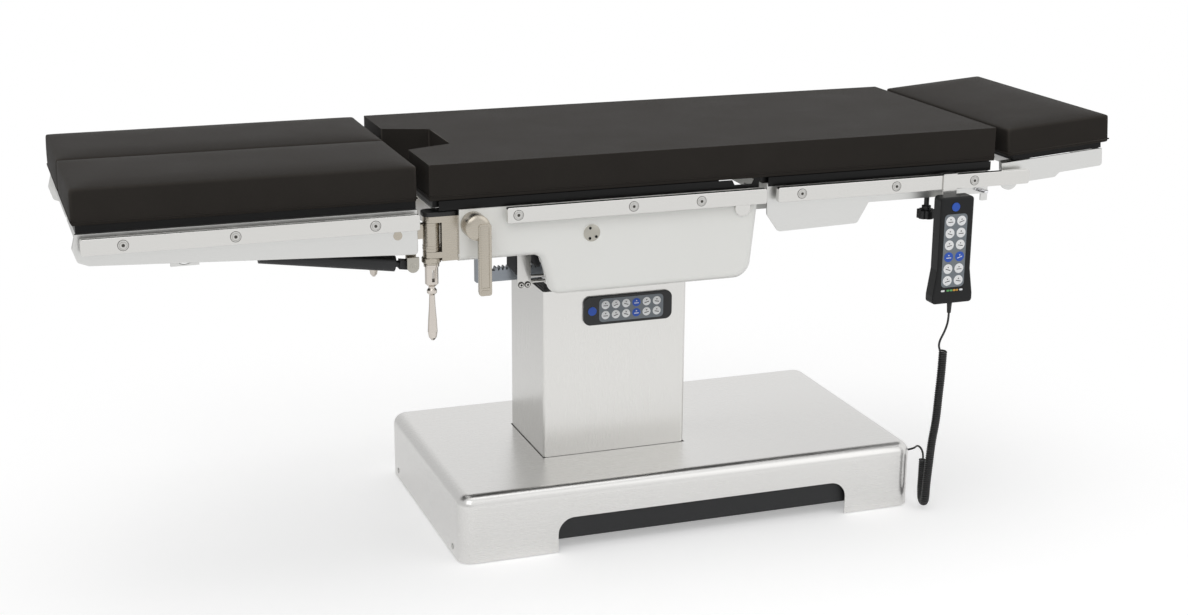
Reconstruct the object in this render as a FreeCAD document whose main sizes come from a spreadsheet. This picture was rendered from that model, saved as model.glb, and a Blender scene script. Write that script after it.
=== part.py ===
"""Electro-hydraulic operating table, modelled piece by piece.

The X axis runs from the foot end to the head end, Y across the table and Z up. The origin is on the
floor under the lifting column. Sizes are in millimetres and stand in one spreadsheet.
"""
import FreeCAD, Part
import Sketcher
import math
import os

SIZES = {
    # upholstery and tabletop
    "pad_width": 500, "pad_top": 755, "pad_thick": 64, "pad_round": 5, "board_thick": 13,
    "board_inset": 8, "seat_reach": 403, "hinge_reach": 193, "hinge_height": 637,
    "back_short": 34, "pad_gap": 19, "leg_length": 588, "leg_slit": 3,
    "cut_depth": 86, "cut_mouth": 206, "cut_floor": 145, "bend_half": 38.5,
    "head_gap": 31, "head_length": 230, "head_pad_thick": 55, "head_board_thick": 10, "head_tilt": 4.1,
    "head_hinge_reach": 760, "head_hinge_height": 650, "head_pad_lift": 45.5,
    "head_plate_back": 16, "head_plate_reach": 210, "head_cheek": 103, "head_cheek_slope": 10,
    "head_cheek_depth": 8, "head_brace": 36, "head_cross_near": 34, "head_cross_far": 190,
    "head_cross_width": 16, "head_cross_depth": 22, "head_board_near": 14, "head_board_reach": 212,
    "head_lug": 8, "head_lug_in": 12.3, "head_lug_out": 4.3, "head_lug_half": 9,
    # frame plates and rails
    "plate_thick": 4, "leg_plate_thick": 8, "rail_height": 28, "rail_thick": 10, "rail_drop": 4,
    "rail_standoff": 12, "post_radius": 8, "frame_left": 349, "frame_shallow": 101,
    "tub_depth": 178, "tub_from": 196, "tub_floor_from": 176, "tub_right": 230,
    "tub_flange": 22, "tub_edge": 14, "tub_corner": 34, "seat_rail_from": 267, "seat_rail_to": 234,
    "back_rail_from": 257, "back_rail_past": 31, "leg_rail_inset": 6, "plug_radius": 16.5,
    "seat_post_first": 20.5, "seat_post_second": 238, "seat_post_last": 131,
    "back_post_first": 48, "back_post_second": 245, "back_post_last": 121,
    "leg_post_first": 81, "leg_post_second": 266, "leg_post_last": 82,
    "back_board_gap": 44, "back_ear": 50, "back_ear_lean": 2, "back_ear_drop": 18,
    "back_chin": 76, "back_chin_drop": 52, "back_cheek": 240, "back_cheek_drop": 48,
    "back_cheek_end": 263, "back_edge_drop": 9,
    "plug_reach": 102, "plug_height": 612,
    # slide bed: T-shaped guide beams, rack and pinion
    "beam_spread": 230, "beam_foot": 30, "beam_foot_thick": 12, "beam_web": 10, "bed_height": 612,
    "bed_thick": 12, "bed_half": 96, "bed_width": 278, "shoe_length": 45, "shoe_wall": 8,
    "shoe_reach": 75, "slide_fit": 0.3, "tooth_module": 2.5, "pinion_teeth": 18, "rack_teeth": 31,
    "rack_width": 16, "rack_bar": 20.4, "rack_height": 510, "rack_offset": 150, "rack_left": 292,
    "rack_right": 12, "hanger_width": 14, "backlash": 0.12, "pinion_reach": 120, "pinion_bore": 8,
    # tilting head of the column
    "tilt_height": 545, "trunnion_radius": 15, "pin_fit": 0.05, "ear_inner": 50, "ear_thick": 16,
    "ear_radius": 30, "cross_half_x": 28, "cross_half_y": 42, "cross_half_z": 22, "yoke_reach": 80,
    "yoke_thick": 16, "yoke_half": 45, "head_plate_thick": 10,
    # column and lift
    "column_length": 292, "column_width": 209, "column_top": 455, "column_foot": 34,
    "sleeve_wall": 3, "sleeve_fit": 0.4, "column_round": 7, "middle_top": 440, "inner_top": 425,
    "ram_radius": 25, "ram_wall": 12, "ram_fit": 0.2, "ram_top": 400, "rod_foot": 60,
    # base
    "base_length": 934, "base_width": 522, "base_height": 132, "base_shift": 108, "base_rise": 2,
    "base_round": 28, "base_edge": 22, "cover_wall": 3, "cover_fit": 1.5, "notch_length": 596,
    "notch_shift": 130, "notch_height": 69, "notch_round": 32, "chassis_rise": 23,
    "chassis_plate": 8, "chassis_beam": 40, "chassis_top": 103, "chassis_inset": 12,
    "foot_radius": 24, "foot_inset_x": 50, "foot_inset_y": 50,
    # column keypad
    "keypad_length": 181, "keypad_height": 57, "keypad_thick": 5, "keypad_round": 14,
    "keypad_shift": 24, "keypad_level": 420, "key_radius": 8.5, "key_reach": 73.5, "key_fit": 0.08,
    "key_travel": 1, "key_proud": 1,
    # leg joints
    "swing_reach": 395, "swing_offset": 228, "swing_pin": 8, "knuckle_radius": 14.8, "arm_top": 661,
    "arm_thick": 11, "arm_low": 586, "bracket_half": 12, "fork_gap": 2.5, "pitch_reach": 460,
    "pitch_drop": 44, "pitch_pin": 8, "spring_lug_x": 29, "spring_lug_z": 61,
    "spring_eye_x": 366, "spring_eye_z": 4, "spring_radius": 14, "spring_length": 240,
    "spring_clear": 30, "spring_play": 20, "spring_rod": 6, "spring_y": 222,
    # hand controls
    "handle_top": 573, "fork_radius": 12, "fork_length": 39, "lever_hub": 23, "lever_x": 324,
    "lever_z": 645, "lever_width": 21, "lever_length": 122, "lever_thick": 6, "lever_out": 25,
    "knob_radius": 18, "knob_height": 24, "knob_x": 595, "knob_top": 606, "knob_lobes": 6,
    # head section
    "bar_size": 20, "bar_wall": 3, "bar_fit": 0.25, "bar_offset": 225, "bar_from": 528,
    "socket_from": 520, "socket_short": 48, "head_disc": 19,
    # hand control
    "handset_x": 618.5, "handset_width": 71, "handset_flare": 86, "handset_top": 638,
    "handset_low": 428, "handset_knee": 495, "handset_heel": 445, "handset_thick": 28,
    "hook_width": 29, "hook_shift": 3, "handset_key_shift": 4.5, "hook_sheet": 3,
    "hook_fit": 0.4, "hook_low": 600,
    "gland_radius": 5, "gland_length": 20, "cord_radius": 2.5, "coil_radius": 8.3,
}

SLIDE_TOOTH_ANGLE = 20.0
SHEET_NAME = "Sizes"


class Size:
    """A length with its value and the spreadsheet expression that gives it."""

    def __init__(self, value, text):
        self.value, self.text = float(value), text

    def join(self, other, sign, value):
        return Size(value, f"({self.text} {sign} {as_size(other).text})")

    def __add__(self, other):
        return self.join(other, "+", self.value + as_size(other).value)

    def __sub__(self, other):
        return self.join(other, "-", self.value - as_size(other).value)

    def __mul__(self, other):
        return self.join(other, "*", self.value * as_size(other).value)

    def __truediv__(self, other):
        return self.join(other, "/", self.value / as_size(other).value)

    def __radd__(self, other):
        return as_size(other) + self

    def __rsub__(self, other):
        return as_size(other) - self

    def __rmul__(self, other):
        return as_size(other) * self

    def __neg__(self):
        return as_size(0) - self


def as_size(item):
    """The item as a Size; a plain number becomes its own text."""
    return item if isinstance(item, Size) else Size(item, repr(float(item)))


def num(item):
    """The plain value of a Size or a number."""
    return as_size(item).value


class Book:
    """Gives each spreadsheet cell as a Size attribute."""

    def __getattr__(self, name):
        return Size(SIZES[name], f"{SHEET_NAME}.{name}")


S = Book()
doc = FreeCAD.newDocument("operating_table")
sheet = doc.addObject("Spreadsheet::Sheet", SHEET_NAME)
for row, (alias, value) in enumerate(SIZES.items(), start=1):
    sheet.set(f"A{row}", alias)
    sheet.set(f"B{row}", str(value))
    sheet.setAlias(f"B{row}", alias)
doc.recompute()

NODES = {}


def bind(item, path, size):
    """Set a property through the spreadsheet, or plainly when the size is a number."""
    if isinstance(size, Size):
        item.setExpression(path, size.text)
    else:
        setattr(item, path, size)


def place(item, x, y, z, axis=(0, 0, 1), angle=0.0):
    """Put an object at x, y, z, bound to the sheet, turned about an axis."""
    turn = FreeCAD.Rotation(FreeCAD.Vector(*axis), angle)
    item.Placement = FreeCAD.Placement(FreeCAD.Vector(num(x), num(y), num(z)), turn)
    for letter, size in zip("xyz", (x, y, z)):
        if isinstance(size, Size):
            item.setExpression(f"Placement.Base.{letter}", size.text)
    return item


def block(x, y, z):
    """A box between two values on each axis."""
    item = doc.addObject("Part::Box", "block")
    for path, (low, high) in zip(("Length", "Width", "Height"), (x, y, z)):
        bind(item, path, as_size(high) - low)
    return place(item, x[0], y[0], z[0])


def pin(axis, start, radius, length):
    """A cylinder from a start point along an axis named x, y or z."""
    item = doc.addObject("Part::Cylinder", "pin")
    bind(item, "Radius", as_size(radius))
    bind(item, "Height", as_size(length))
    turns = {"x": ((0, 1, 0), 90.0), "y": ((1, 0, 0), -90.0), "z": ((0, 0, 1), 0.0)}
    return place(item, *start, *turns[axis])


def fuse(*shapes):
    """Join solids that touch into one."""
    item = doc.addObject("Part::MultiFuse", "joined")
    item.Shapes = list(shapes)
    item.Refine = True
    return item


def cut(base, *tools):
    """Take the tools out of a solid."""
    item = doc.addObject("Part::Cut", "cut")
    item.Base = base
    item.Tool = tools[0] if len(tools) == 1 else fuse(*tools)
    item.Refine = True
    return item


def mirror(item, normal=(0, 1, 0)):
    """The same piece on the other side of the middle plane."""
    twin = doc.addObject("Part::Mirroring", "mirrored")
    twin.Source = item
    twin.Base = FreeCAD.Vector(0, 0, 0)
    twin.Normal = FreeCAD.Vector(*normal)
    return twin


def group(*items):
    """Separate solids kept in one node."""
    item = doc.addObject("Part::Compound", "group")
    item.Links = list(items)
    return item


def node(name, item):
    """Give a finished piece its name."""
    item.Label = name
    NODES[name] = item
    return item


def body(name):
    """A new part-design body."""
    return doc.addObject("PartDesign::Body", name)


def sketch(owner, plane, offset=None):
    """A sketch on one of the body's own origin planes, moved along its normal."""
    item = owner.newObject("Sketcher::SketchObject", "outline")
    origin = next(o for o in owner.Origin.OriginFeatures if o.Role == plane)
    item.AttachmentSupport = [(origin, "")]
    item.MapMode = "FlatFace"
    if offset is not None:
        item.AttachmentOffset = FreeCAD.Placement(
            FreeCAD.Vector(0, 0, num(offset)), FreeCAD.Rotation())
        if isinstance(offset, Size):
            item.setExpression("AttachmentOffset.Base.z", offset.text)
    return item


def pinned(item, geometry, point, x, y):
    """Fix a sketch point at x, y from the sketch origin."""
    for kind, size, axis in (("DistanceX", x, -2), ("DistanceY", y, -1)):
        if abs(num(size)) < 1e-9 and not isinstance(size, Size):
            item.addConstraint(Sketcher.Constraint("PointOnObject", geometry, point, axis))
            continue
        index = item.addConstraint(
            Sketcher.Constraint(kind, -1, 1, geometry, point, num(size)))
        if isinstance(size, Size):
            item.setExpression(f"Constraints[{index}]", size.text)


def polygon(item, points):
    """A closed outline whose corners are bound to the sheet."""
    first = item.GeometryCount
    flat = [FreeCAD.Vector(num(x), num(y), 0) for x, y in points]
    count = len(points)
    for i in range(count):
        item.addGeometry(Part.LineSegment(flat[i], flat[(i + 1) % count]), False)
    for i in range(count):
        item.addConstraint(
            Sketcher.Constraint("Coincident", first + i, 2, first + (i + 1) % count, 1))
    for i, (x, y) in enumerate(points):
        pinned(item, first + i, 1, x, y)


def rectangle(item, x, y):
    """A rectangle between two values each way."""
    polygon(item, [(x[0], y[0]), (x[1], y[0]), (x[1], y[1]), (x[0], y[1])])


def circle(item, x, y, radius):
    """A circle bound to the sheet."""
    centre = FreeCAD.Vector(num(x), num(y), 0)
    index = item.addGeometry(Part.Circle(centre, FreeCAD.Vector(0, 0, 1), num(radius)), False)
    pinned(item, index, 3, x, y)
    rule = item.addConstraint(Sketcher.Constraint("Radius", index, num(radius)))
    if isinstance(radius, Size):
        item.setExpression(f"Constraints[{rule}]", radius.text)


def pad(owner, profile, length, symmetric=False):
    """Extrude a sketch along its normal."""
    item = owner.newObject("PartDesign::Pad", "pad")
    item.Profile = profile
    item.Midplane = symmetric
    bind(item, "Length", as_size(length))
    doc.recompute()
    return item


def pocket(owner, profile, length=None, symmetric=False, reverse=False):
    """Cut a sketch out of the body, against the sketch's normal unless reversed."""
    before = owner.Shape.Volume
    item = owner.newObject("PartDesign::Pocket", "pocket")
    item.Profile = profile
    item.Midplane = symmetric
    item.Reversed = reverse
    if length is None:
        item.Type = 1
    else:
        bind(item, "Length", as_size(length))
    doc.recompute()
    if owner.Shape.Volume > before - 1e-6:
        raise RuntimeError(f"{owner.Name}: a pocket cut nothing")
    return item


def edges(shape, test):
    """Names of the edges whose middle passes a test of the middle point and the direction."""
    found = []
    for index, edge in enumerate(shape.Edges, start=1):
        low, high = edge.ParameterRange
        middle = edge.valueAt((low + high) / 2)
        run = edge.valueAt(high) - edge.valueAt(low)
        if run.Length > 1e-6 and test(middle, run.normalize()):
            found.append(f"Edge{index}")
    return found


def round_off(owner, radius, test):
    """Fillet the chosen edges of the body's last feature."""
    names = edges(owner.Tip.Shape, test)
    if not names:
        raise RuntimeError(f"{owner.Name}: no edge to round")
    item = owner.newObject("PartDesign::Fillet", "fillet")
    item.Base = (owner.Tip if owner.Tip is not item else item.BaseFeature, names)
    bind(item, "Radius", as_size(radius))
    doc.recompute()
    return item


def hollow(owner, wall, test):
    """Shell the body inwards and leave out the faces that pass the test."""
    last = owner.Tip
    faces = [f"Face{i}" for i, face in enumerate(last.Shape.Faces, start=1) if test(face)]
    item = owner.newObject("PartDesign::Thickness", "shell")
    item.Base = (last, faces)
    bind(item, "Value", as_size(wall))
    item.Reversed = True
    doc.recompute()
    return item


def near(value, size, slack=0.01):
    """Whether a measured value is at a size."""
    return abs(value - num(size)) < slack


# Places worked out from the driving sizes
HALF = S.pad_width / 2
PAD_LOW = S.pad_top - S.pad_thick
FRAME_TOP = PAD_LOW - S.board_thick
BACK_REACH = S.head_hinge_reach - S.back_short
PITCH_HEIGHT = FRAME_TOP - S.pitch_drop
SOCKET_TO = S.head_hinge_reach - S.socket_short
RAIL_TOP = FRAME_TOP - S.rail_drop
RAIL_LOW = RAIL_TOP - S.rail_height
RAIL_IN = HALF + S.rail_standoff
RAIL_OUT = RAIL_IN + S.rail_thick
PLATE_IN = HALF - S.plate_thick
BOARD_HALF = HALF - S.board_inset
TUB_LOW = FRAME_TOP - S.tub_depth
SHALLOW_LOW = FRAME_TOP - S.frame_shallow
LEG_HEAD = -(S.seat_reach + S.pad_gap)
LEG_FOOT = LEG_HEAD - S.leg_length
BASE_LEFT = S.base_shift - S.base_length / 2
BASE_RIGHT = S.base_shift + S.base_length / 2
BASE_HALF = S.base_width / 2
RACK_TIP = S.rack_height + S.rack_bar + 2.25 * S.tooth_module
PITCH_LINE = S.rack_height + S.rack_bar + 1.25 * S.tooth_module
PINION_RADIUS = S.tooth_module * S.pinion_teeth / 2
PINION_Z = PITCH_LINE + PINION_RADIUS + S.backlash
BEAM_Y = S.beam_spread / 2
BEAM_LOW = S.bed_height + S.bed_thick / 2.5 + S.slide_fit
BED_LOW = S.bed_height - S.bed_thick


def bend_x(side, height):
    """Where the mitred pad ends beside the back hinge at a height, on side -1 or 1."""
    lean = math.tan(math.radians(SIZES["bend_half"]))
    return S.hinge_reach + side * lean * (height - S.hinge_height)


def make_cover():
    """Stainless cover of the base: a pressed shell with a foot notch on each long side."""
    cover = body("cover")
    outline = sketch(cover, "XY_Plane", S.base_rise)
    rectangle(outline, (BASE_LEFT, BASE_RIGHT), (-BASE_HALF, BASE_HALF))
    pad(cover, outline, S.base_height - S.base_rise)
    round_off(cover, S.base_round, lambda p, d: abs(d.z) > 0.9)
    round_off(cover, S.base_edge, lambda p, d: near(p.z, S.base_height))
    hollow(cover, S.cover_wall, lambda f: near(f.CenterOfMass.z, S.base_rise))
    notch = sketch(cover, "XZ_Plane")
    rectangle(notch, (S.notch_shift - S.notch_length / 2, S.notch_shift + S.notch_length / 2),
              (-1.0, S.notch_height))
    pocket(cover, notch, S.base_width * 2, symmetric=True)
    round_off(cover, S.notch_round,
              lambda p, d: abs(d.y) > 0.9 and near(p.z, S.notch_height) and abs(p.y) > SIZES["base_width"] / 3)
    window = sketch(cover, "XY_Plane", S.base_height)
    half_x = S.column_length / 2 + S.cover_fit
    half_y = S.column_width / 2 + S.cover_fit
    rectangle(window, (-half_x, half_x), (-half_y, half_y))
    pocket(cover, window, S.cover_wall * 2)
    node("base_cover", cover)


def make_chassis():
    """Welded steel chassis with its four rubber feet."""
    left, right = BASE_LEFT + S.chassis_inset, BASE_RIGHT - S.chassis_inset
    half = BASE_HALF - S.chassis_inset
    low, floor = S.chassis_rise, S.chassis_rise + S.chassis_plate
    beam = S.chassis_beam
    frame = body("chassis")
    outline = sketch(frame, "XY_Plane", low)
    rectangle(outline, (left, right), (-half, half))
    pad(frame, outline, S.chassis_top - low)
    middle = sketch(frame, "XY_Plane", S.chassis_top)
    rectangle(middle, (left + beam, right - beam), (-(half - beam), half - beam))
    pocket(frame, middle, S.chassis_top - floor)
    for side in (-1, 1):
        light = sketch(frame, "XY_Plane", floor)
        centre = S.base_shift + side * S.base_length / 2.7
        rectangle(light, (centre - S.chassis_beam * 1.5, centre + S.chassis_beam * 1.5),
                  (-(half - beam * 2), half - beam * 2))
        pocket(frame, light)
    round_off(frame, S.chassis_inset, lambda p, d: abs(d.z) > 0.9 and abs(p.y) > num(half) - 1)
    node("base_chassis", frame)
    feet = []
    for x in (BASE_LEFT + S.foot_inset_x, BASE_RIGHT - S.foot_inset_x):
        for side in (-1, 1):
            foot = doc.addObject("Part::Cone", "foot")
            bind(foot, "Radius1", S.foot_radius)
            bind(foot, "Radius2", S.foot_radius * 0.8)
            bind(foot, "Height", S.chassis_rise)
            feet.append(place(foot, x, side * (BASE_HALF - S.foot_inset_y), 0))
    node("base_feet", group(*feet))


def sleeve(name, shrink, low, high):
    """One sleeve of the telescopic column, smaller all round by the given amount."""
    tube = body(name)
    half_x = S.column_length / 2 - shrink
    half_y = S.column_width / 2 - shrink
    outline = sketch(tube, "XY_Plane", low)
    rectangle(outline, (-half_x, half_x), (-half_y, half_y))
    pad(tube, outline, high - low)
    round_off(tube, S.column_round - shrink / 2, lambda p, d: abs(d.z) > 0.9)
    hollow(tube, S.sleeve_wall, lambda f: abs(f.normalAt(0, 0).z) > 0.9)
    node(name, tube)


def make_column():
    """Three telescopic sleeves around a hydraulic ram, with the yoke that carries the top."""
    step = S.sleeve_wall + S.sleeve_fit
    floor = S.chassis_rise + S.chassis_plate
    sleeve("column_sleeve", as_size(0) + 0 * S.sleeve_fit, S.column_foot, S.column_top)
    sleeve("middle_sleeve", step, S.column_foot, S.middle_top)
    sleeve("inner_sleeve", step * 2, floor, S.inner_top)
    ram = pin("z", (0, 0, floor), S.ram_radius + S.ram_wall, S.ram_top - floor)
    bore = pin("z", (0, 0, floor + S.ram_wall), S.ram_radius + S.ram_fit, S.ram_top)
    node("lift_cylinder", cut(ram, bore))
    node("lift_rod", pin("z", (0, 0, S.rod_foot), S.ram_radius, S.column_top - S.rod_foot))
    yoke = body("yoke")
    plate = sketch(yoke, "XY_Plane", S.column_top)
    rectangle(plate, (-(S.column_length / 2), S.column_length / 2),
              (-(S.column_width / 2), S.column_width / 2))
    pad(yoke, plate, S.head_plate_thick)
    round_off(yoke, S.column_round, lambda p, d: abs(d.z) > 0.9)
    top = S.column_top + S.head_plate_thick
    for side in (-1, 1):
        outer = S.ear_inner + S.ear_thick
        ear = sketch(yoke, "XZ_Plane", outer if side < 0 else -S.ear_inner)
        rectangle(ear, (-S.ear_radius, S.ear_radius), (top - 1, S.tilt_height + S.ear_radius))
        flange = pad(yoke, ear, S.ear_thick)
        flange.Reversed = True
        doc.recompute()
    crown = S.tilt_height + S.ear_radius
    round_off(yoke, S.ear_radius - 2, lambda p, d: abs(d.y) > 0.9 and near(p.z, crown))
    bore = sketch(yoke, "XZ_Plane")
    circle(bore, 0, S.tilt_height, S.trunnion_radius + S.pin_fit)
    pocket(yoke, bore, S.column_width * 2, symmetric=True)
    node("column_head", yoke)


def make_keypad():
    """Membrane keypad on the column with its separate blue power key."""
    left = S.keypad_shift - S.keypad_length / 2
    right = S.keypad_shift + S.keypad_length / 2
    face = S.column_width / 2
    panel = body("panel")
    outline = sketch(panel, "XZ_Plane", face)
    rectangle(outline, (left, right),
              (S.keypad_level - S.keypad_height / 2, S.keypad_level + S.keypad_height / 2))
    pad(panel, outline, S.keypad_thick)
    round_off(panel, S.keypad_round, lambda p, d: abs(d.y) > 0.9)
    outer = num(face + S.keypad_thick)
    round_off(panel, 1.5, lambda p, d: near(p.y, -outer))
    key_x = S.keypad_shift - S.key_reach
    hole = sketch(panel, "XZ_Plane", face + S.keypad_thick)
    circle(hole, key_x, S.keypad_level, S.key_radius + S.key_fit)
    pocket(panel, hole, S.keypad_thick - 1)
    node("column_keypad", panel)
    depth = S.keypad_thick - 1 - S.key_travel - 0.2
    node("column_power_key",
         pin("y", (key_x, -(face + S.keypad_thick + S.key_proud), S.keypad_level),
             S.key_radius, depth + S.key_proud))


def make_tilt_cross():
    """Gimbal cross: trunnions across the table for one tilt and along it for the other."""
    core = block((-S.cross_half_x, S.cross_half_x), (-S.cross_half_y, S.cross_half_y),
                 (S.tilt_height - S.cross_half_z, S.tilt_height + S.cross_half_z))
    reach_y = S.ear_inner + S.ear_thick + 2
    reach_x = S.yoke_reach + S.yoke_thick + 2
    shoulder = S.trunnion_radius + 5
    pieces = [core,
              pin("y", (0, -reach_y, S.tilt_height), S.trunnion_radius, reach_y * 2),
              pin("x", (-reach_x, 0, S.tilt_height), S.trunnion_radius, reach_x * 2),
              pin("y", (0, -(S.ear_inner - 0.3), S.tilt_height), shoulder,
                  (S.ear_inner - 0.3) * 2),
              pin("x", (-(S.yoke_reach - 0.3), 0, S.tilt_height), shoulder,
                  (S.yoke_reach - 0.3) * 2)]
    node("tilt_cross", fuse(*pieces))


def make_carriage():
    """Slide bed on the gimbal: hangers, T-slot shoes, rack guide, pinion bracket and motor."""
    half, low, high = S.bed_half, BED_LOW, S.bed_height
    solid = [block((-half, half), (-(S.bed_width / 2), S.bed_width / 2), (low, high))]
    holes = []
    for side in (-1, 1):
        inner, outer = S.yoke_reach, S.yoke_reach + S.yoke_thick
        span = (-outer, -inner) if side < 0 else (inner, outer)
        solid.append(block(span, (-S.yoke_half, S.yoke_half),
                           (S.tilt_height - S.trunnion_radius - 10, low)))
    holes.append(pin("x", (-(S.yoke_reach + S.yoke_thick), 0, S.tilt_height),
                     S.trunnion_radius + S.pin_fit, (S.yoke_reach + S.yoke_thick) * 2))
    # shoes with a T slot for the foot of each beam
    foot = S.beam_foot / 2 + S.slide_fit
    web = S.beam_web / 2 + S.slide_fit
    slot_low = BEAM_LOW - S.slide_fit
    slot_high = BEAM_LOW + S.beam_foot_thick + S.slide_fit
    for side_y in (-1, 1):
        for side_x in (-1, 1):
            end = side_x * S.shoe_reach
            start = side_x * (S.shoe_reach - S.shoe_length)
            span = (end, start) if side_x < 0 else (start, end)
            mid = side_y * BEAM_Y
            solid.append(block(span, (mid - foot - S.shoe_wall, mid + foot + S.shoe_wall),
                               (high - 1, slot_high + S.shoe_wall)))
        holes.append(block((-half, half), (mid - foot, mid + foot), (slot_low, slot_high)))
        holes.append(block((-half, half), (mid - web, mid + web),
                           (slot_high - 1, slot_high + S.shoe_wall + 1)))
    # arm, guide plate with its rack window, pinion cheeks and motor housing
    near_y, far_y = -(S.rack_offset - 22), -(S.rack_offset + 22)
    reach = S.pinion_reach
    solid.append(block((-(reach + 46), -(half - 12)), (far_y, near_y), (low, high)))
    solid.append(block((-(reach + 46), -(reach + 36)), (far_y, near_y), (S.rack_height - 22, low)))
    gap = S.rack_width / 2 + S.slide_fit
    holes.append(block((-(reach + 47), -(reach + 35)), (-S.rack_offset - gap, -S.rack_offset + gap),
                       (S.rack_height - S.slide_fit, RACK_TIP + S.slide_fit)))
    for y in (far_y, near_y - 8):
        solid.append(block((-(reach + 30), -(reach - 30)), (y, y + 8), (S.rack_height + 6, low)))
    holes.append(pin("y", (-reach, far_y - 1, PINION_Z), S.pinion_bore + S.pin_fit,
                     near_y - far_y + 2))
    solid.append(pin("y", (-reach, far_y - 50, PINION_Z), S.pinion_bore * 3, 50))
    node("slide_carriage", cut(fuse(*solid), *holes))


def involute_gear(teeth, module, backlash):
    """Outline of a spur gear with involute flanks as a wire of short curves."""
    pressure = math.radians(SLIDE_TOOTH_ANGLE)
    pitch = module * teeth / 2
    base, tip, root = pitch * math.cos(pressure), pitch + module, pitch - 1.25 * module
    half = math.pi / (2 * teeth) - backlash / (2 * pitch)
    lead = half + math.tan(pressure) - pressure
    steps = 5
    reach = math.sqrt((tip / base) ** 2 - 1)
    start = math.sqrt(max((root / base) ** 2 - 1, 0.0))

    def flank(t):
        radius = base * math.sqrt(1 + t * t)
        return radius, lead - (t - math.atan(t))

    def at(radius, angle):
        return FreeCAD.Vector(radius * math.cos(angle), radius * math.sin(angle), 0)

    ends = []
    for tooth in range(teeth):
        centre = 2 * math.pi * (tooth + 0.5) / teeth - math.pi / 2
        low = [(root, -lead)] if root < base else []
        low += [(r, -a) for r, a in (flank(start + (reach - start) * i / steps)
                                     for i in range(steps + 1))]
        high = [(r, -a) for r, a in reversed(low)]
        ends.append([at(r, centre + a) for r, a in low + high])
    lines = []
    for index, points in enumerate(ends):
        loop = points + [ends[(index + 1) % teeth][0]]
        lines += [Part.LineSegment(a, b).toShape() for a, b in zip(loop, loop[1:])]
    return Part.Wire(lines)


def make_rack_and_pinion():
    """Straight rack under the table frame and the pinion that drives it."""
    module = SIZES["tooth_module"]
    pitch = math.pi * S.tooth_module
    lean = math.tan(math.radians(SLIDE_TOOTH_ANGLE))
    low, top = S.rack_height, S.rack_height + S.rack_bar
    rack = body("rack")
    bar = sketch(rack, "XZ_Plane", S.rack_offset - S.rack_width / 2)
    rectangle(bar, (-S.rack_left, S.rack_right), (low, top))
    pad(rack, bar, S.rack_width)
    first = -S.pinion_reach - 17 * pitch
    wide = pitch / 4 + 1.25 * lean * S.tooth_module - S.backlash / 2
    slim = pitch / 4 - lean * S.tooth_module - S.backlash / 2
    tooth = sketch(rack, "XZ_Plane", S.rack_offset - S.rack_width / 2)
    polygon(tooth, [(first - wide, top), (first + wide, top),
                    (first + slim, RACK_TIP), (first - slim, RACK_TIP)])
    teeth = pad(rack, tooth, S.rack_width)
    row = rack.newObject("PartDesign::LinearPattern", "teeth")
    row.Originals = [teeth]
    row.Direction = (bar, ["H_Axis"])
    row.Mode = 1
    row.Offset = math.pi * module
    row.setExpression("Offset", pitch.text)
    row.Occurrences = SIZES["rack_teeth"]
    rack.Tip = row
    doc.recompute()
    hangers = []
    for start in (-S.rack_left, S.rack_right - S.hanger_width):
        hangers.append(block((start, start + S.hanger_width),
                             (-(S.rack_offset + S.rack_width / 2),
                              -(S.rack_offset - S.rack_width / 2)),
                             (top - 1, FRAME_TOP - S.beam_foot)))
    node("slide_rack", fuse(rack, *hangers))
    gear = doc.addObject("Part::Feature", "gear")
    teeth = int(SIZES["pinion_teeth"])
    wire = involute_gear(teeth, module, SIZES["backlash"])
    width = SIZES["rack_width"] - 1
    disc = Part.Face(wire).extrude(FreeCAD.Vector(0, 0, width))
    axle = Part.makeCylinder(SIZES["pinion_bore"], 44, FreeCAD.Vector(0, 0, width / 2 - 22))
    gear.Shape = disc.fuse(axle).removeSplitter()
    place(gear, -S.pinion_reach, -(S.rack_offset - width / 2), PINION_Z, (1, 0, 0), 90.0)
    node("slide_pinion", gear)


def make_seat_frame():
    """Seat frame: end plates, guide beams, cross bars and the ears of the back hinge."""
    reach = S.frame_left
    right = S.hinge_reach - 33
    solid = [block((-reach, -reach + 8), (-PLATE_IN, PLATE_IN),
                   (SHALLOW_LOW + S.tub_edge, FRAME_TOP)),
             block((right, right + 8), (-PLATE_IN, PLATE_IN), (BEAM_LOW + 4, FRAME_TOP))]
    for side in (-1, 1):
        mid = side * BEAM_Y
        solid.append(block((-reach, right), (mid - S.beam_foot / 2, mid + S.beam_foot / 2),
                           (BEAM_LOW, BEAM_LOW + S.beam_foot_thick)))
        solid.append(block((-reach, right), (mid - S.beam_web / 2, mid + S.beam_web / 2),
                           (BEAM_LOW + 1, FRAME_TOP)))
        inner = side * (HALF - 36)
        span = (inner - 10, inner) if side < 0 else (inner, inner + 10)
        solid.append(block((right, S.hinge_reach), span,
                           (S.hinge_height - 15, S.hinge_height + 15)))
        solid.append(pin("y", (S.hinge_reach, span[0], S.hinge_height), 15, 10))
    for start in (-S.rack_left - 2, S.rack_right - S.hanger_width - 8):
        solid.append(block((start, start + 30), (-PLATE_IN, PLATE_IN),
                           (FRAME_TOP - S.beam_foot, FRAME_TOP)))
    holes = [pin("y", (S.hinge_reach, -HALF, S.hinge_height), 8 + S.pin_fit, S.pad_width),
             block((-reach - 1, -reach + 9), (-(S.cut_floor / 2 + 16), S.cut_floor / 2 + 16),
                   (FRAME_TOP - 45, FRAME_TOP + 1))]
    node("seat_frame", cut(fuse(*solid), *holes))


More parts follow.
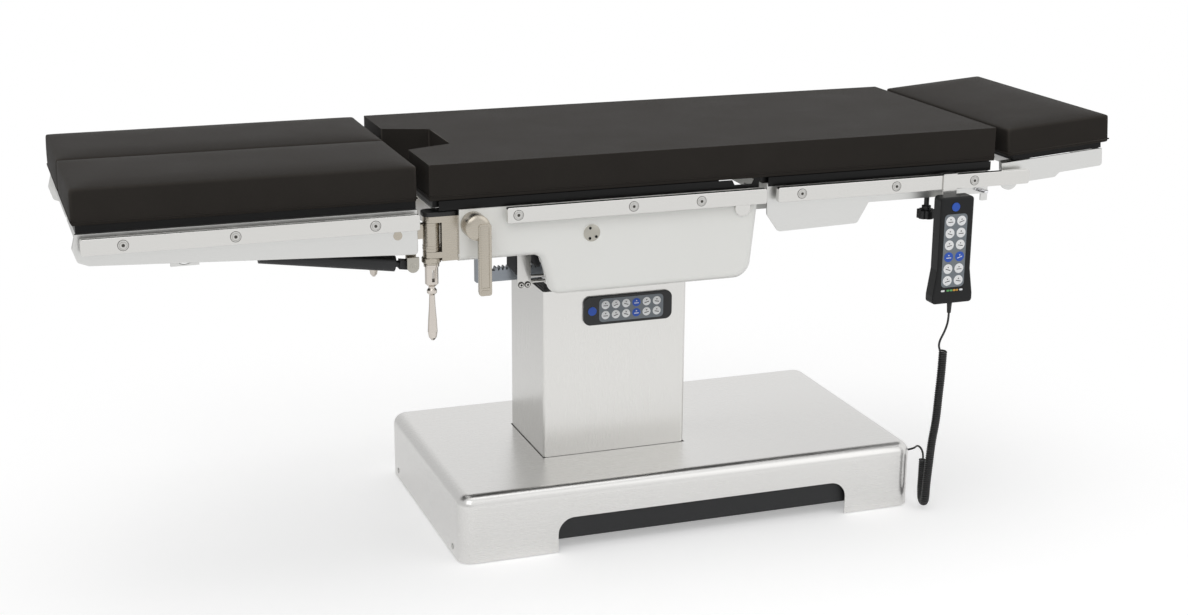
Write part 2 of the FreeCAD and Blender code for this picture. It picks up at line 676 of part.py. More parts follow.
def make_side_panels():
    """White side panels of the seat with a deep middle and an in-curled lower edge."""
    panel = body("side_panel")
    outline = sketch(panel, "XZ_Plane", HALF - S.tub_flange)
    polygon(outline, [
        (-S.frame_left, FRAME_TOP), (-S.frame_left, SHALLOW_LOW), (-S.tub_from, SHALLOW_LOW),
        (-S.tub_floor_from, TUB_LOW), (S.tub_right - 16, TUB_LOW),
        (S.tub_right, FRAME_TOP - 22), (S.tub_right - 22, FRAME_TOP)])
    pad(panel, outline, S.tub_flange)
    round_off(panel, S.tub_corner,
              lambda p, d: abs(d.y) > 0.9 and near(p.z, TUB_LOW) and p.x > 0)
    face = num(HALF)
    round_off(panel, S.tub_edge + 6,
              lambda p, d: abs(d.y) > 0.9 and p.x < 0 and p.z < num(SHALLOW_LOW) + 1
              and not near(p.x, -S.frame_left))
    round_off(panel, S.tub_edge, lambda p, d: near(p.y, -face) and p.z < num(SHALLOW_LOW) + 1)
    hollow(panel, S.plate_thick,
           lambda f: near(f.CenterOfMass.y, -(HALF - S.tub_flange))
           or near(f.CenterOfMass.z, FRAME_TOP) or near(f.CenterOfMass.x, -S.frame_left))
    holes = sketch(panel, "XZ_Plane", HALF)
    circle(holes, S.hinge_reach, S.hinge_height, 8 + S.pin_fit)
    circle(holes, -S.lever_x, S.lever_z, 8 + S.pin_fit)
    pocket(panel, holes, S.plate_thick + 1)
    plug = sketch(panel, "XZ_Plane", HALF - 1)
    circle(plug, -S.plug_reach, S.plug_height, S.plug_radius)
    pad(panel, plug, 3)
    node("seat_side_panels", group(panel, mirror(panel)))


def rail(x, posts):
    """A side rail with rounded ends on its stand-off posts, on the near side."""
    bar = body("rail")
    outline = sketch(bar, "XZ_Plane", RAIL_IN)
    rectangle(outline, x, (RAIL_LOW, RAIL_TOP))
    pad(bar, outline, S.rail_thick)
    round_off(bar, 4, lambda p, d: abs(d.y) > 0.9)
    round_off(bar, 1.2, lambda p, d: near(p.y, -RAIL_OUT))
    middle = (RAIL_LOW + RAIL_TOP) / 2
    pins = [pin("y", (post, -RAIL_IN - 1, middle), S.post_radius, S.rail_standoff + 1)
            for post in posts]
    return fuse(bar, *pins)


def make_boards_and_pads():
    """Laminate boards and foam pads of seat and back, with the part of the pad that bends."""
    mouth, floor = S.cut_mouth / 2, S.cut_floor / 2
    foot = -S.seat_reach
    deep = foot + S.cut_depth

    def seat_outline(item, left, right, half, grow):
        polygon(item, [(left, -half), (right, -half), (right, half), (left, half),
                       (left, mouth + grow), (deep + grow, floor + grow),
                       (deep + grow, -(floor + grow)), (left, -(mouth + grow))])

    board = body("seat_laminate")
    outline = sketch(board, "XY_Plane", FRAME_TOP)
    seat_outline(outline, foot + S.board_inset, S.hinge_reach - 44, BOARD_HALF, 4)
    pad(board, outline, S.board_thick)
    node("seat_board", board)
    seat = body("seat_foam")
    outline = sketch(seat, "XY_Plane", PAD_LOW)
    seat_outline(outline, foot, bend_x(-1, PAD_LOW), HALF, 0)
    pad(seat, outline, S.pad_thick)
    mitre = sketch(seat, "XZ_Plane")
    polygon(mitre, [(bend_x(-1, PAD_LOW), PAD_LOW), (bend_x(-1, PAD_LOW) + 1, S.pad_top + 1),
                    (bend_x(-1, S.pad_top + 1), S.pad_top + 1)])
    pocket(seat, mitre, S.pad_width * 2, symmetric=True)
    round_off(seat, S.pad_round, lambda p, d: near(p.z, S.pad_top) and abs(d.x) > 0.9
              and abs(p.y) > 200)
    node("seat_pad", seat)
    back = body("back_foam")
    outline = sketch(back, "XZ_Plane")
    polygon(outline, [(bend_x(1, PAD_LOW), PAD_LOW), (BACK_REACH, PAD_LOW),
                      (BACK_REACH, S.pad_top), (bend_x(1, S.pad_top), S.pad_top)])
    pad(back, outline, S.pad_width, symmetric=True)
    round_off(back, S.pad_round, lambda p, d: near(p.z, S.pad_top)
              and (abs(d.x) > 0.9 or near(p.x, BACK_REACH)))
    node("back_pad", back)
    bend = body("bend_foam")
    outline = sketch(bend, "XZ_Plane")
    polygon(outline, [(bend_x(-1, PAD_LOW), PAD_LOW), (bend_x(1, PAD_LOW), PAD_LOW),
                      (bend_x(1, S.pad_top), S.pad_top), (bend_x(-1, S.pad_top), S.pad_top)])
    pad(bend, outline, S.pad_width, symmetric=True)
    round_off(bend, S.pad_round, lambda p, d: near(p.z, S.pad_top) and abs(d.x) > 0.9)
    node("pad_bend", bend)
    node("back_board", block((S.hinge_reach + S.back_board_gap, BACK_REACH - S.board_inset),
                             (-BOARD_HALF, BOARD_HALF), (FRAME_TOP, PAD_LOW)))


def make_back_frame():
    """Back frame: shaped side plates, cross bars, hinge ears and the sockets of the head bars."""
    hinge, top = S.hinge_reach, FRAME_TOP
    plate = body("back_plate")
    outline = sketch(plate, "XZ_Plane", PLATE_IN)
    level, edge = S.hinge_height, S.hinge_height - S.back_edge_drop
    polygon(outline, [(hinge + S.back_ear, top),
                      (hinge + S.back_ear + S.back_ear_lean, level - S.back_ear_drop),
                      (hinge + S.back_chin, level - S.back_chin_drop),
                      (hinge + S.back_cheek, level - S.back_cheek_drop),
                      (hinge + S.back_cheek_end, edge), (SOCKET_TO, edge), (SOCKET_TO, top)])
    pad(plate, outline, S.plate_thick)
    round_off(plate, 9, lambda p, d: abs(d.y) > 0.9 and p.z < num(S.hinge_height) - 15)
    side = [plate, mirror(plate)]
    for start, width in ((hinge + 66, 20), (S.socket_from - 14, 20), (SOCKET_TO - 20, 16)):
        side.append(block((start, start + width), (-PLATE_IN, PLATE_IN), (top - 34, top)))
    holes = [pin("y", (hinge, -HALF, S.hinge_height), 8 + S.pin_fit, S.pad_width)]
    bar = S.bar_size / 2
    for sign in (-1, 1):
        inner = sign * (HALF - 47)
        span = (inner - 10, inner) if sign < 0 else (inner, inner + 10)
        side.append(block((hinge, hinge + 80), span, (S.hinge_height - 15, S.hinge_height + 15)))
        side.append(pin("y", (hinge, span[0], S.hinge_height), 15, 10))
        mid = sign * S.bar_offset
        wall = bar + S.bar_fit + S.bar_wall
        level = S.head_hinge_height
        side.append(block((S.socket_from, SOCKET_TO), (mid - wall, mid + wall),
                          (level - wall, level + wall)))
        gap = bar + S.bar_fit
        holes.append(block((S.socket_from + 6, SOCKET_TO + 1), (mid - gap, mid + gap),
                           (level - gap, level + gap)))
        holes.append(pin("z", (S.knob_x, mid, S.knob_top - 2), 5 + S.pin_fit,
                         level - S.knob_top))
    node("back_frame", cut(fuse(*side), *holes))


def make_head_section():
    """Head section: square bars in their sockets, hinged frame, board and pad, tilted a little."""
    hinge, level = S.head_hinge_reach, S.head_hinge_height
    half = S.bar_size / 2
    bars = []
    for side in (-1, 1):
        mid = side * S.bar_offset
        bars += [block((S.bar_from, hinge - 14), (mid - half, mid + half),
                       (level - half, level + half)),
                 block((hinge - 16, hinge), (mid - 4, mid + 4), (level - half, level + half)),
                 pin("y", (hinge, mid - 4, level), half, 8)]
    joined = fuse(block((hinge - 30, hinge - 16), (-(S.bar_offset + 1), S.bar_offset + 1),
                        (level - half + 1, level + half - 1)), *bars)
    bores = pin("y", (hinge, -HALF, level), 6 + S.pin_fit, S.pad_width)
    node("head_bars", cut(joined, bores))
    turn = ((0, 1, 0), -SIZES["head_tilt"])
    top = S.head_pad_lift - S.head_board_thick
    frame = body("head_plates")
    outline = sketch(frame, "XZ_Plane", HALF - S.plate_thick)
    low = -S.head_cheek_depth
    polygon(outline, [(-S.head_plate_back, top), (-S.head_plate_back, 4),
                      (-S.head_plate_back * 0.25, low), (S.head_cheek, low),
                      (S.head_cheek + S.head_cheek_slope, 0), (S.head_plate_reach, 1),
                      (S.head_plate_reach, top)])
    pad(frame, outline, S.plate_thick)
    round_off(frame, 6, lambda p, d: abs(d.y) > 0.9 and p.z < 10)
    disc = pin("y", (0, -HALF - 1, 0), S.head_disc, S.plate_thick + 1)
    pieces = [frame, disc, mirror(frame), mirror(disc)]
    for start in (S.head_cross_near, S.head_cross_far):
        pieces.append(block((start, start + S.head_cross_width), (-PLATE_IN, PLATE_IN),
                            (top - S.head_cross_depth, top)))
    for side in (-1, 1):
        mid = side * S.bar_offset
        for y in (mid - S.head_lug_in, mid + S.head_lug_out):
            pieces += [block((0, S.head_brace), (y, y + S.head_lug), (-S.head_lug_half, top - 4)),
                       pin("y", (0, y, 0), S.head_lug_half, S.head_lug)]
        pieces.append(pin("y", (0, mid - 21 if side < 0 else mid - 12, 0), 6, 33))
    place(node("head_frame", fuse(*pieces)), hinge, 0, level, *turn)
    board = body("head_laminate")
    outline = sketch(board, "XY_Plane", top)
    rectangle(outline, (S.head_board_near, S.head_board_reach), (-BOARD_HALF, BOARD_HALF))
    pad(board, outline, S.head_board_thick)
    place(node("head_board", board), hinge, 0, level, *turn)
    foam = body("head_foam")
    outline = sketch(foam, "XY_Plane", S.head_pad_lift)
    near_end = BACK_REACH + S.head_gap - hinge
    rectangle(outline, (near_end, near_end + S.head_length), (-HALF, HALF))
    pad(foam, outline, S.head_pad_thick)
    crown = S.head_pad_lift + S.head_pad_thick
    round_off(foam, S.pad_round, lambda p, d: near(p.z, crown))
    place(node("head_pad", foam), hinge, 0, level, *turn)


def make_knobs():
    """Lobed clamp knobs under the head sockets."""
    bottom = S.knob_top - S.knob_height
    knob = body("knob")
    outline = sketch(knob, "XY_Plane", bottom)
    circle(outline, 0, 0, S.knob_radius)
    pad(knob, outline, S.knob_height - 8)
    flute = sketch(knob, "XY_Plane", bottom - 1)
    circle(flute, S.knob_radius + 3.5, 0, S.knob_radius * 0.32)
    groove = pocket(knob, flute, S.knob_height, reverse=True)
    ring = knob.newObject("PartDesign::PolarPattern", "lobes")
    ring.Originals = [groove]
    ring.Axis = (outline, ["N_Axis"])
    ring.Angle = 360
    ring.Occurrences = SIZES["knob_lobes"]
    knob.Tip = ring
    doc.recompute()
    neck = sketch(knob, "XY_Plane", S.knob_top - 9)
    circle(neck, 0, 0, S.knob_radius * 0.5)
    pad(knob, neck, 9)
    stem = sketch(knob, "XY_Plane", S.knob_top - 1)
    circle(stem, 0, 0, 5)
    pad(knob, stem, S.head_hinge_height - S.knob_top - S.bar_size / 2)
    for name, side in (("head_knob_near", -1), ("head_knob_far", 1)):
        place(node(name, group(knob)), S.knob_x, side * S.bar_offset, 0)


def make_leg_joint():
    """Leg bracket on the seat frame, swing pin and the knuckle that carries the leg."""
    x, y = -S.swing_reach, -S.swing_offset
    half = S.bracket_half + 3
    low, high = S.arm_low, S.arm_top
    frame = -S.frame_left
    solid = [block((frame - 30, frame), (y - half, y + half), (low - 6, high - S.arm_thick)),
             block((x - 2, frame), (y - half, y + half), (high - S.arm_thick, high)),
             pin("z", (x, y, high - S.arm_thick), half, S.arm_thick),
             block((x, frame), (y - half, y + half), (low, low + S.arm_thick)),
             pin("z", (x, y, low), half, S.arm_thick)]
    bore = pin("z", (x, y, low - 1), S.swing_pin, high - low + 2)
    bracket = cut(fuse(*solid), bore)
    node("leg_brackets", group(bracket, mirror(bracket)))
    swing = pin("z", (x, y, S.handle_top - 14), S.swing_pin, high - S.handle_top + 16)
    hinge = fuse(pin("y", (S.hinge_reach, -HALF - 2, S.hinge_height), 8, 52),
                 pin("y", (S.hinge_reach, -HALF - 5, S.hinge_height), 15, 4.7))
    node("hinge_pins", group(swing, mirror(swing), hinge, mirror(hinge)))
    bottom, top = low + S.arm_thick + 0.4, high - S.arm_thick - 0.4
    pivot_x, pivot_z = -S.pitch_reach, PITCH_HEIGHT
    spring = -S.spring_y
    lug_x, lug_z = pivot_x + S.spring_lug_x, pivot_z - S.spring_lug_z
    solid = [pin("z", (x, y, bottom), S.knuckle_radius, top - bottom),
             block((pivot_x, x), (spring - 8, spring + 8), (pivot_z - 14, pivot_z + 12)),
             pin("y", (pivot_x, spring - 8, pivot_z), 14, 16),
             block((lug_x - 9, lug_x + 9), (spring - 4, spring + 4), (lug_z, pivot_z - 10)),
             pin("y", (lug_x, spring - 4, lug_z), 9, 8),
             pin("y", (pivot_x, -HALF - 0.5, pivot_z), S.pitch_pin, 50)]
    bore = pin("z", (x, y, bottom - 1), S.swing_pin + S.pin_fit, top - bottom + 2)
    ear_hole = pin("y", (lug_x, spring - 5, lug_z), 5 + S.pin_fit, 10)
    knuckle = cut(fuse(*solid), bore, ear_hole)
    node("leg_knuckle_near", knuckle)
    node("leg_knuckle_far", mirror(knuckle))


def make_leg():
    """One leg section on the near side and its mirror image: frame, rail, board and pad."""
    foot, head = LEG_FOOT, LEG_HEAD
    top = FRAME_TOP
    inner = -(S.leg_slit / 2 + 10)
    plate_in = -(HALF - S.leg_plate_thick)
    plate = body("leg_plate")
    outline = sketch(plate, "XZ_Plane", HALF - S.leg_plate_thick)
    polygon(outline, [(foot + 6, top), (foot, top - 24), (foot + 8, top - 48),
                      (foot + 26, top - 55), (head - 2, top - 81), (head - 2, top)])
    pad(plate, outline, S.leg_plate_thick)
    round_off(plate, 7, lambda p, d: abs(d.y) > 0.9 and p.z < num(top) - 1)
    round_off(plate, 2, lambda p, d: near(p.y, -HALF) and p.z < num(top) - 1)
    eye_x, eye_z = -S.pitch_reach - S.spring_eye_x, PITCH_HEIGHT - S.spring_eye_z
    spring = -S.spring_y
    solid = [plate,
             block((foot + 12, foot + 32), (plate_in - 1, inner), (top - 30, top)),
             block((-S.pitch_reach - 40, -S.pitch_reach - 20), (plate_in - 1, inner),
                   (top - 22, top)),
             block((eye_x - 24, eye_x + 24), (plate_in - 1, inner), (top - 22, top)),
             block((foot + 12, -S.pitch_reach - 20), (inner - 10, inner), (top - 30, top)),
             block((-S.pitch_reach - 30, -S.pitch_reach + 14), (spring + 10, spring + 18),
                   (PITCH_HEIGHT - 14, top)),
             pin("y", (-S.pitch_reach, spring + 10, PITCH_HEIGHT), 14, 8)]
    for y in (spring - 16, spring + 10):
        solid.append(block((eye_x - 24, eye_x + 24), (y, y + 6), (eye_z - 22, top)))
    holes = [pin("y", (-S.pitch_reach, -HALF - 1, PITCH_HEIGHT), S.pitch_pin + S.pin_fit, 60),
             pin("y", (eye_x, spring - 17, eye_z), S.spring_play, 40)]
    frame = cut(fuse(*solid), *holes)
    bar = rail((foot + 12, head - 3), [foot + S.leg_post_first, foot + S.leg_post_second,
                                            head - S.leg_post_last])
    board = body("leg_laminate")
    outline = sketch(board, "XY_Plane", top)
    rectangle(outline, (foot + S.board_inset, head - 3), (-BOARD_HALF, -(S.leg_slit / 2 + 6)))
    pad(board, outline, S.board_thick)
    foam = body("leg_foam")
    outline = sketch(foam, "XY_Plane", PAD_LOW)
    rectangle(outline, (foot, head), (-HALF, -(S.leg_slit / 2)))
    pad(foam, outline, S.pad_thick)
    round_off(foam, S.pad_round, lambda p, d: near(p.z, S.pad_top))
    for name, item in (("leg_frame", frame), ("leg_rail", bar), ("leg_board", board),
                       ("leg_pad", foam)):
        node(f"{name}_near", item)
        node(f"{name}_far", mirror(item))


def make_gas_spring():
    """Gas spring between the knuckle's lug and the leg frame, at rest length."""
    lug = (-S.pitch_reach + S.spring_lug_x, PITCH_HEIGHT - S.spring_lug_z)
    run_x = SIZES["spring_eye_x"] + SIZES["spring_lug_x"]
    run_z = SIZES["spring_lug_z"] - SIZES["spring_eye_z"]
    length = math.hypot(run_x, run_z)
    lean = math.degrees(math.atan2(run_z, run_x))
    clear, tube = S.spring_clear, S.spring_length
    barrel = fuse(pin("x", (clear, 0, 0), S.spring_radius, tube),
                  pin("x", (14, 0, 0), S.spring_rod, clear - 13))
    cheeks = [block((-10, 18), (y, y + 4), (-8, 8)) for y in (-8.3, 4.3)]
    bridge = block((14, 22), (-8.3, 8.3), (-8, 8))
    cross = pin("y", (0, -8.3, 0), 5, 16.6)
    bore = pin("x", (clear + 10, 0, 0), S.spring_rod + S.pin_fit, tube)
    cylinder = cut(fuse(barrel, *cheeks, bridge, cross), bore)
    inner = clear + tube - 105
    rod = fuse(pin("x", (inner, 0, 0), S.spring_rod, length - 8 - inner),
               pin("y", (length, -8, 0), 10, 16), pin("y", (length, -17, 0), 5, 34))
    for name, item in (("leg_spring_cylinder", cylinder), ("leg_spring_rod", rod)):
        held = group(item)
        place(held, lug[0], -S.spring_y, lug[1], (0, 1, 0), 180.0 + lean)
        node(f"{name}_near", held)
        node(f"{name}_far", mirror(held))


def make_leg_handle():
    """Clamp handle under the swing pin: collar, slotted fork, neck and pear grip, all turned."""
    top = S.handle_top
    x, y = -S.swing_reach, -S.swing_offset
    handle = body("handle")
    profile = sketch(handle, "XZ_Plane")
    fork_low = top - S.fork_length
    radius = S.fork_radius
    polygon(profile, [(0, top), (radius + 2, top), (radius + 2, top - 4), (radius, top - 5),
                      (radius, fork_low + 3), (radius - 3, fork_low), (6, fork_low - 2),
                      (6, fork_low - 5), (9, fork_low - 9), (9, fork_low - 14), (5, fork_low - 18),
                      (6, fork_low - 40), (8, fork_low - 66), (9, fork_low - 86),
                      (7, fork_low - 97), (3, fork_low - 102), (0, fork_low - 103)])
    turned = handle.newObject("PartDesign::Revolution", "turned")
    turned.Profile = profile
    turned.ReferenceAxis = (profile, ["V_Axis"])
    turned.Angle = 360
    doc.recompute()
    slot = sketch(handle, "XZ_Plane")
    rectangle(slot, (-2.5, 2.5), (fork_low + 8, top - 9))
    pocket(handle, slot, 60, symmetric=True)
    seat = pin("z", (0, 0, top - 15), S.swing_pin + S.pin_fit, 30)
    whole = cut(handle, seat)
    place(node("leg_handle_near", whole), x, y, 0)
    node("leg_handle_far", mirror(whole))


def make_lock_lever():
    """Lock lever on the seat panel: round hub on a shaft and a flat bar that hangs down."""
    x, z = -S.lever_x, S.lever_z
    out = HALF + S.lever_out
    bar = body("lever_bar")
    outline = sketch(bar, "XZ_Plane", out)
    rectangle(outline, (x + 1, x + 1 + S.lever_width), (z - S.lever_length, z + 8))
    pad(bar, outline, S.lever_thick)
    round_off(bar, 5, lambda p, d: abs(d.y) > 0.9 and p.z < num(z))
    round_off(bar, 1.5, lambda p, d: near(p.y, -(out + S.lever_thick)) and p.z < num(z))
    whole = fuse(bar, pin("y", (x, -out - S.lever_thick, z), S.lever_hub,
                          S.lever_out + S.lever_thick - 0.5),
                 pin("y", (x, -out, z), 8, S.lever_out + S.plate_thick + 6))
    node("lock_lever_near", whole)
    node("lock_lever_far", mirror(whole))


def make_handset():
    """Hand control on its rail hook, with a power key and a cord gland."""
    x = S.handset_x
    half, flare = S.handset_width / 2, S.handset_flare / 2
    top, knee, heel, low = S.handset_top, S.handset_knee, S.handset_heel, S.handset_low
    back = RAIL_OUT + S.hook_fit + S.hook_sheet
    face = back + S.handset_thick
    shell = body("handset_shell")
    outline = sketch(shell, "XZ_Plane", back)
    polygon(outline, [(x - half, top), (x - half, knee), (x - flare, heel), (x - flare, low),
                      (x + flare, low), (x + flare, heel), (x + half, knee), (x + half, top)])
    pad(shell, outline, S.handset_thick)
    round_off(shell, 7, lambda p, d: abs(d.y) > 0.9)
    round_off(shell, 4, lambda p, d: near(p.y, -face))
    hole = sketch(shell, "XZ_Plane", face)
    circle(hole, x - S.handset_key_shift, top - 19, S.key_radius + S.key_fit)
    pocket(shell, hole, 6)
    node("handset", shell)
    key = x - S.handset_key_shift
    node("handset_power_key", pin("y", (key, -(face + S.key_proud), top - 19), S.key_radius,
                                  6 + S.key_proud - S.key_travel - 0.2))
    sheet_half = S.hook_width / 2
    inner, outer = RAIL_IN - S.hook_fit, RAIL_OUT + S.hook_fit
    crest = RAIL_TOP + S.pin_fit
    metal = S.hook_sheet
    span = (x - S.hook_shift - sheet_half, x - S.hook_shift + sheet_half)
    hook = fuse(block(span, (-(outer + metal), -outer), (S.hook_low, crest + metal)),
                block(span, (-(outer + metal), -(inner - metal)), (crest, crest + metal)),
                block(span, (-inner, -(inner - metal)), (RAIL_LOW + 6, crest + metal)))
    node("handset_hook", hook)
    gland = doc.addObject("Part::Cone", "gland")
    bind(gland, "Radius1", S.gland_radius * 0.75)
    bind(gland, "Radius2", S.gland_radius)
    bind(gland, "Height", S.gland_length)
    node("handset_gland", place(gland, LEAD_ROUTE[0][0], LEAD_ROUTE[0][1], low - S.gland_length))


def cord_tube(name, points, radius, turn_share=0.45):
    """A cord as straight runs joined by tangent arcs through hand-set points."""
    route = [FreeCAD.Vector(*point) for point in points]
    parts, radii, here = [], [], route[0]
    for before, corner, after in zip(route, route[1:], route[2:]):
        inward, onward = (before - corner), (after - corner)
        turn = math.pi - inward.getAngle(onward)
        trim = turn_share * min(inward.Length, onward.Length)
        bend = trim / math.tan(turn / 2)
        radii.append(round(bend, 1))
        start = corner + inward.normalize() * trim
        end = corner + onward.normalize() * trim
        middle_way = (inward + onward).normalize()
        reach = bend / math.cos(turn / 2) - bend
        middle = corner + middle_way * reach
        parts.append(Part.LineSegment(here, start).toShape())
        parts.append(Part.Arc(start, middle, end).toShape())
        here = end
    parts.append(Part.LineSegment(here, route[-1]).toShape())
    path = Part.Wire(parts)
    along = route[1] - route[0]
    ring = Part.Wire([Part.makeCircle(radius, route[0], along)])
    item = doc.addObject("Part::Feature", name)
    item.Shape = path.makePipeShell([ring], True, False)
    expected = math.pi * radius ** 2 * path.Length
    share = item.Shape.Volume / expected
    print(f"{name}: length {path.Length:.1f} mm, radii {radii}, volume share {share:.4f}")
    node(name, item)


# Routes of the hand control's cord, in table coordinates
LEAD_ROUTE = [(616, -297, 408), (616, -297, 394), (612.5, -297.5, 380), (606.5, -298, 366.5),
              (599.5, -298.5, 355), (596.5, -299, 343.5), (600, -299.5, 333)]
COIL_ROUTE = [(607, -299, 332), (606, -299, 283), (603, -299, 244), (600.5, -299, 189),
              (594, -298.5, 148), (590.5, -298.5, 98), (587.5, -298, 56), (587, -298, 22),
              (592, -280, 11.5), (597, -262, 22), (597.5, -262.5, 52), (598, -262, 94)]
BASE_ROUTE = [(598, -262, 94.9), (598, -262, 107), (597, -254, 116), (597, -242, 117),
              (599, -231, 112), (602, -221, 105), (594, -215, 100), (580, -215, 100)]


def make_cord():
    """Curly cord of the hand control and the socket where it returns into the base."""
    cord_tube("handset_lead", LEAD_ROUTE, SIZES["cord_radius"])
    cord_tube("curly_cord", COIL_ROUTE, SIZES["coil_radius"])
    cord_tube("base_lead", BASE_ROUTE, SIZES["cord_radius"])
    end = BASE_ROUTE[-1]
    flange = pin("x", (BASE_RIGHT, end[1], end[2]), 10, 3)
    boss = pin("x", (BASE_RIGHT, end[1], end[2]), 6, end[0] - BASE_RIGHT)
    node("cord_socket", fuse(flange, boss))


def build():
    """Make every piece in order from the floor up."""
    make_cover()
    make_chassis()
    make_column()
    make_keypad()
    make_tilt_cross()
    make_carriage()
    make_rack_and_pinion()
    make_seat_frame()
    make_side_panels()
    first = -S.seat_rail_from
    seat_rail = rail((first, S.seat_rail_to),
                     [first + S.seat_post_first, first + S.seat_post_second,
                      S.seat_rail_to - S.seat_post_last])
    node("seat_rails", group(seat_rail, mirror(seat_rail)))
    make_boards_and_pads()
    make_back_frame()
    first, last = S.back_rail_from, S.head_hinge_reach + S.back_rail_past
    back_rail = rail((first, last), [first + S.back_post_first, first + S.back_post_second,
                                     last - S.back_post_last])
    node("back_rails", group(back_rail, mirror(back_rail)))
    make_head_section()
    make_knobs()
    make_leg_joint()
    make_leg()
    make_gas_spring()
    make_leg_handle()
    make_lock_lever()
    make_handset()
    make_cord()
    doc.recompute()


def check_and_write():
    """Refuse broken pieces, then write one STEP file for each node."""
    for item in doc.Objects:
        if "Invalid" in item.State or "Error" in item.State:
            raise RuntimeError(f"{item.Label} failed: {item.State}")
    for name, item in NODES.items():
        shape = item.Shape
        if shape.isNull() or not shape.isValid() or not shape.Solids:
            raise RuntimeError(f"{name}: bad shape")
        print(f"{name}: solids {len(shape.Solids)}, volume {shape.Volume:.0f}")
    os.makedirs("parts", exist_ok=True)
    for name, item in NODES.items():
        item.Shape.exportStep(f"parts/{name}.step")
    print(f"{len(NODES)} nodes written")


build()
check_and_write()
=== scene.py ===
"""Electro-hydraulic operating table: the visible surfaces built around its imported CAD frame.

Sizes and outlines are in millimetres in the table's own frame: X to the head end, Y away from
the viewer and Z up from the floor. Blender's meshes are in metres.
"""

from __future__ import annotations

import logging
import math
from collections.abc import Iterable, Sequence
from dataclasses import dataclass, field
from enum import Enum

import bmesh
import bpy
from mathutils import Matrix, Vector

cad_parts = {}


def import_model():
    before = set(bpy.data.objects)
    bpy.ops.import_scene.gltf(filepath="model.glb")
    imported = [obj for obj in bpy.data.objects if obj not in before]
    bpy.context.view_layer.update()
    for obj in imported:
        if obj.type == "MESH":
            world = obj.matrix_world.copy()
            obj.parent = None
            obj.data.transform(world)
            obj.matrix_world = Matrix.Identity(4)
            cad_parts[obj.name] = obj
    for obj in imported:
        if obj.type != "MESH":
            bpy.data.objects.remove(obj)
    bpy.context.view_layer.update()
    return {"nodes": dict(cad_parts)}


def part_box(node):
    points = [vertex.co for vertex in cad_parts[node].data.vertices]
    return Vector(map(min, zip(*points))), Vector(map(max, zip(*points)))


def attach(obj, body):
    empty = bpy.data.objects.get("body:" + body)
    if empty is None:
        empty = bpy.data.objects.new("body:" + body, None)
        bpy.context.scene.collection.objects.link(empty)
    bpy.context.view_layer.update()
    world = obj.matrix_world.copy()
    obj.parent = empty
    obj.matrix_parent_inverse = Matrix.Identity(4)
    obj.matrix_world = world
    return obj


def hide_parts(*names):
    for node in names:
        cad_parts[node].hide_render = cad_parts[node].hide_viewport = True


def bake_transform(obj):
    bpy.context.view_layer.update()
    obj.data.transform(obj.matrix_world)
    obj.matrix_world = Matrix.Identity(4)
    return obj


LOG = logging.getLogger("operating_table")
MM = 0.001
TINY = 1e-6
SMOOTH_BELOW = math.radians(35.0)
SIDES = (("near", -1), ("far", 1))
Spot = tuple[float, float]
Point = tuple[float, float, float]
Box = tuple[float, float, float, float]
Form = bmesh.types.BMesh
Node = bpy.types.Node
Socket = bpy.types.NodeSocket
Tree = bpy.types.NodeTree


def linear(code: str) -> tuple[float, float, float, float]:
    """Turn an sRGB hex colour into linear RGBA.

    Args:
        code: six hex digits after a hash.

    Returns:
        The linear colour with alpha 1.
    """
    raw = [int(code[i:i + 2], 16) / 255 for i in (1, 3, 5)]
    low, slope, offset, gain, power = 0.04045, 12.92, 0.055, 1.055, 2.4
    return (*(c / slope if c <= low else ((c + offset) / gain) ** power for c in raw), 1.0)


def put(tree: Tree, kind: str, settings: dict[str | int, object] | None = None,
        links: dict[str | int, Socket] | None = None) -> Node:
    """Add one node with its settings and its incoming links.

    Args:
        tree: the node tree.
        kind: Blender's name of the node type.
        settings: attribute names, or input names and numbers, with their values.
        links: input names and numbers with the socket that feeds each.

    Returns:
        The new node.
    """
    made = tree.nodes.new(kind)
    for key, value in (settings or {}).items():
        if isinstance(key, str) and hasattr(made, key):
            setattr(made, key, value)
        else:
            made.inputs[key].default_value = value
    for key, source in (links or {}).items():
        tree.links.new(source, made.inputs[key])
    return made


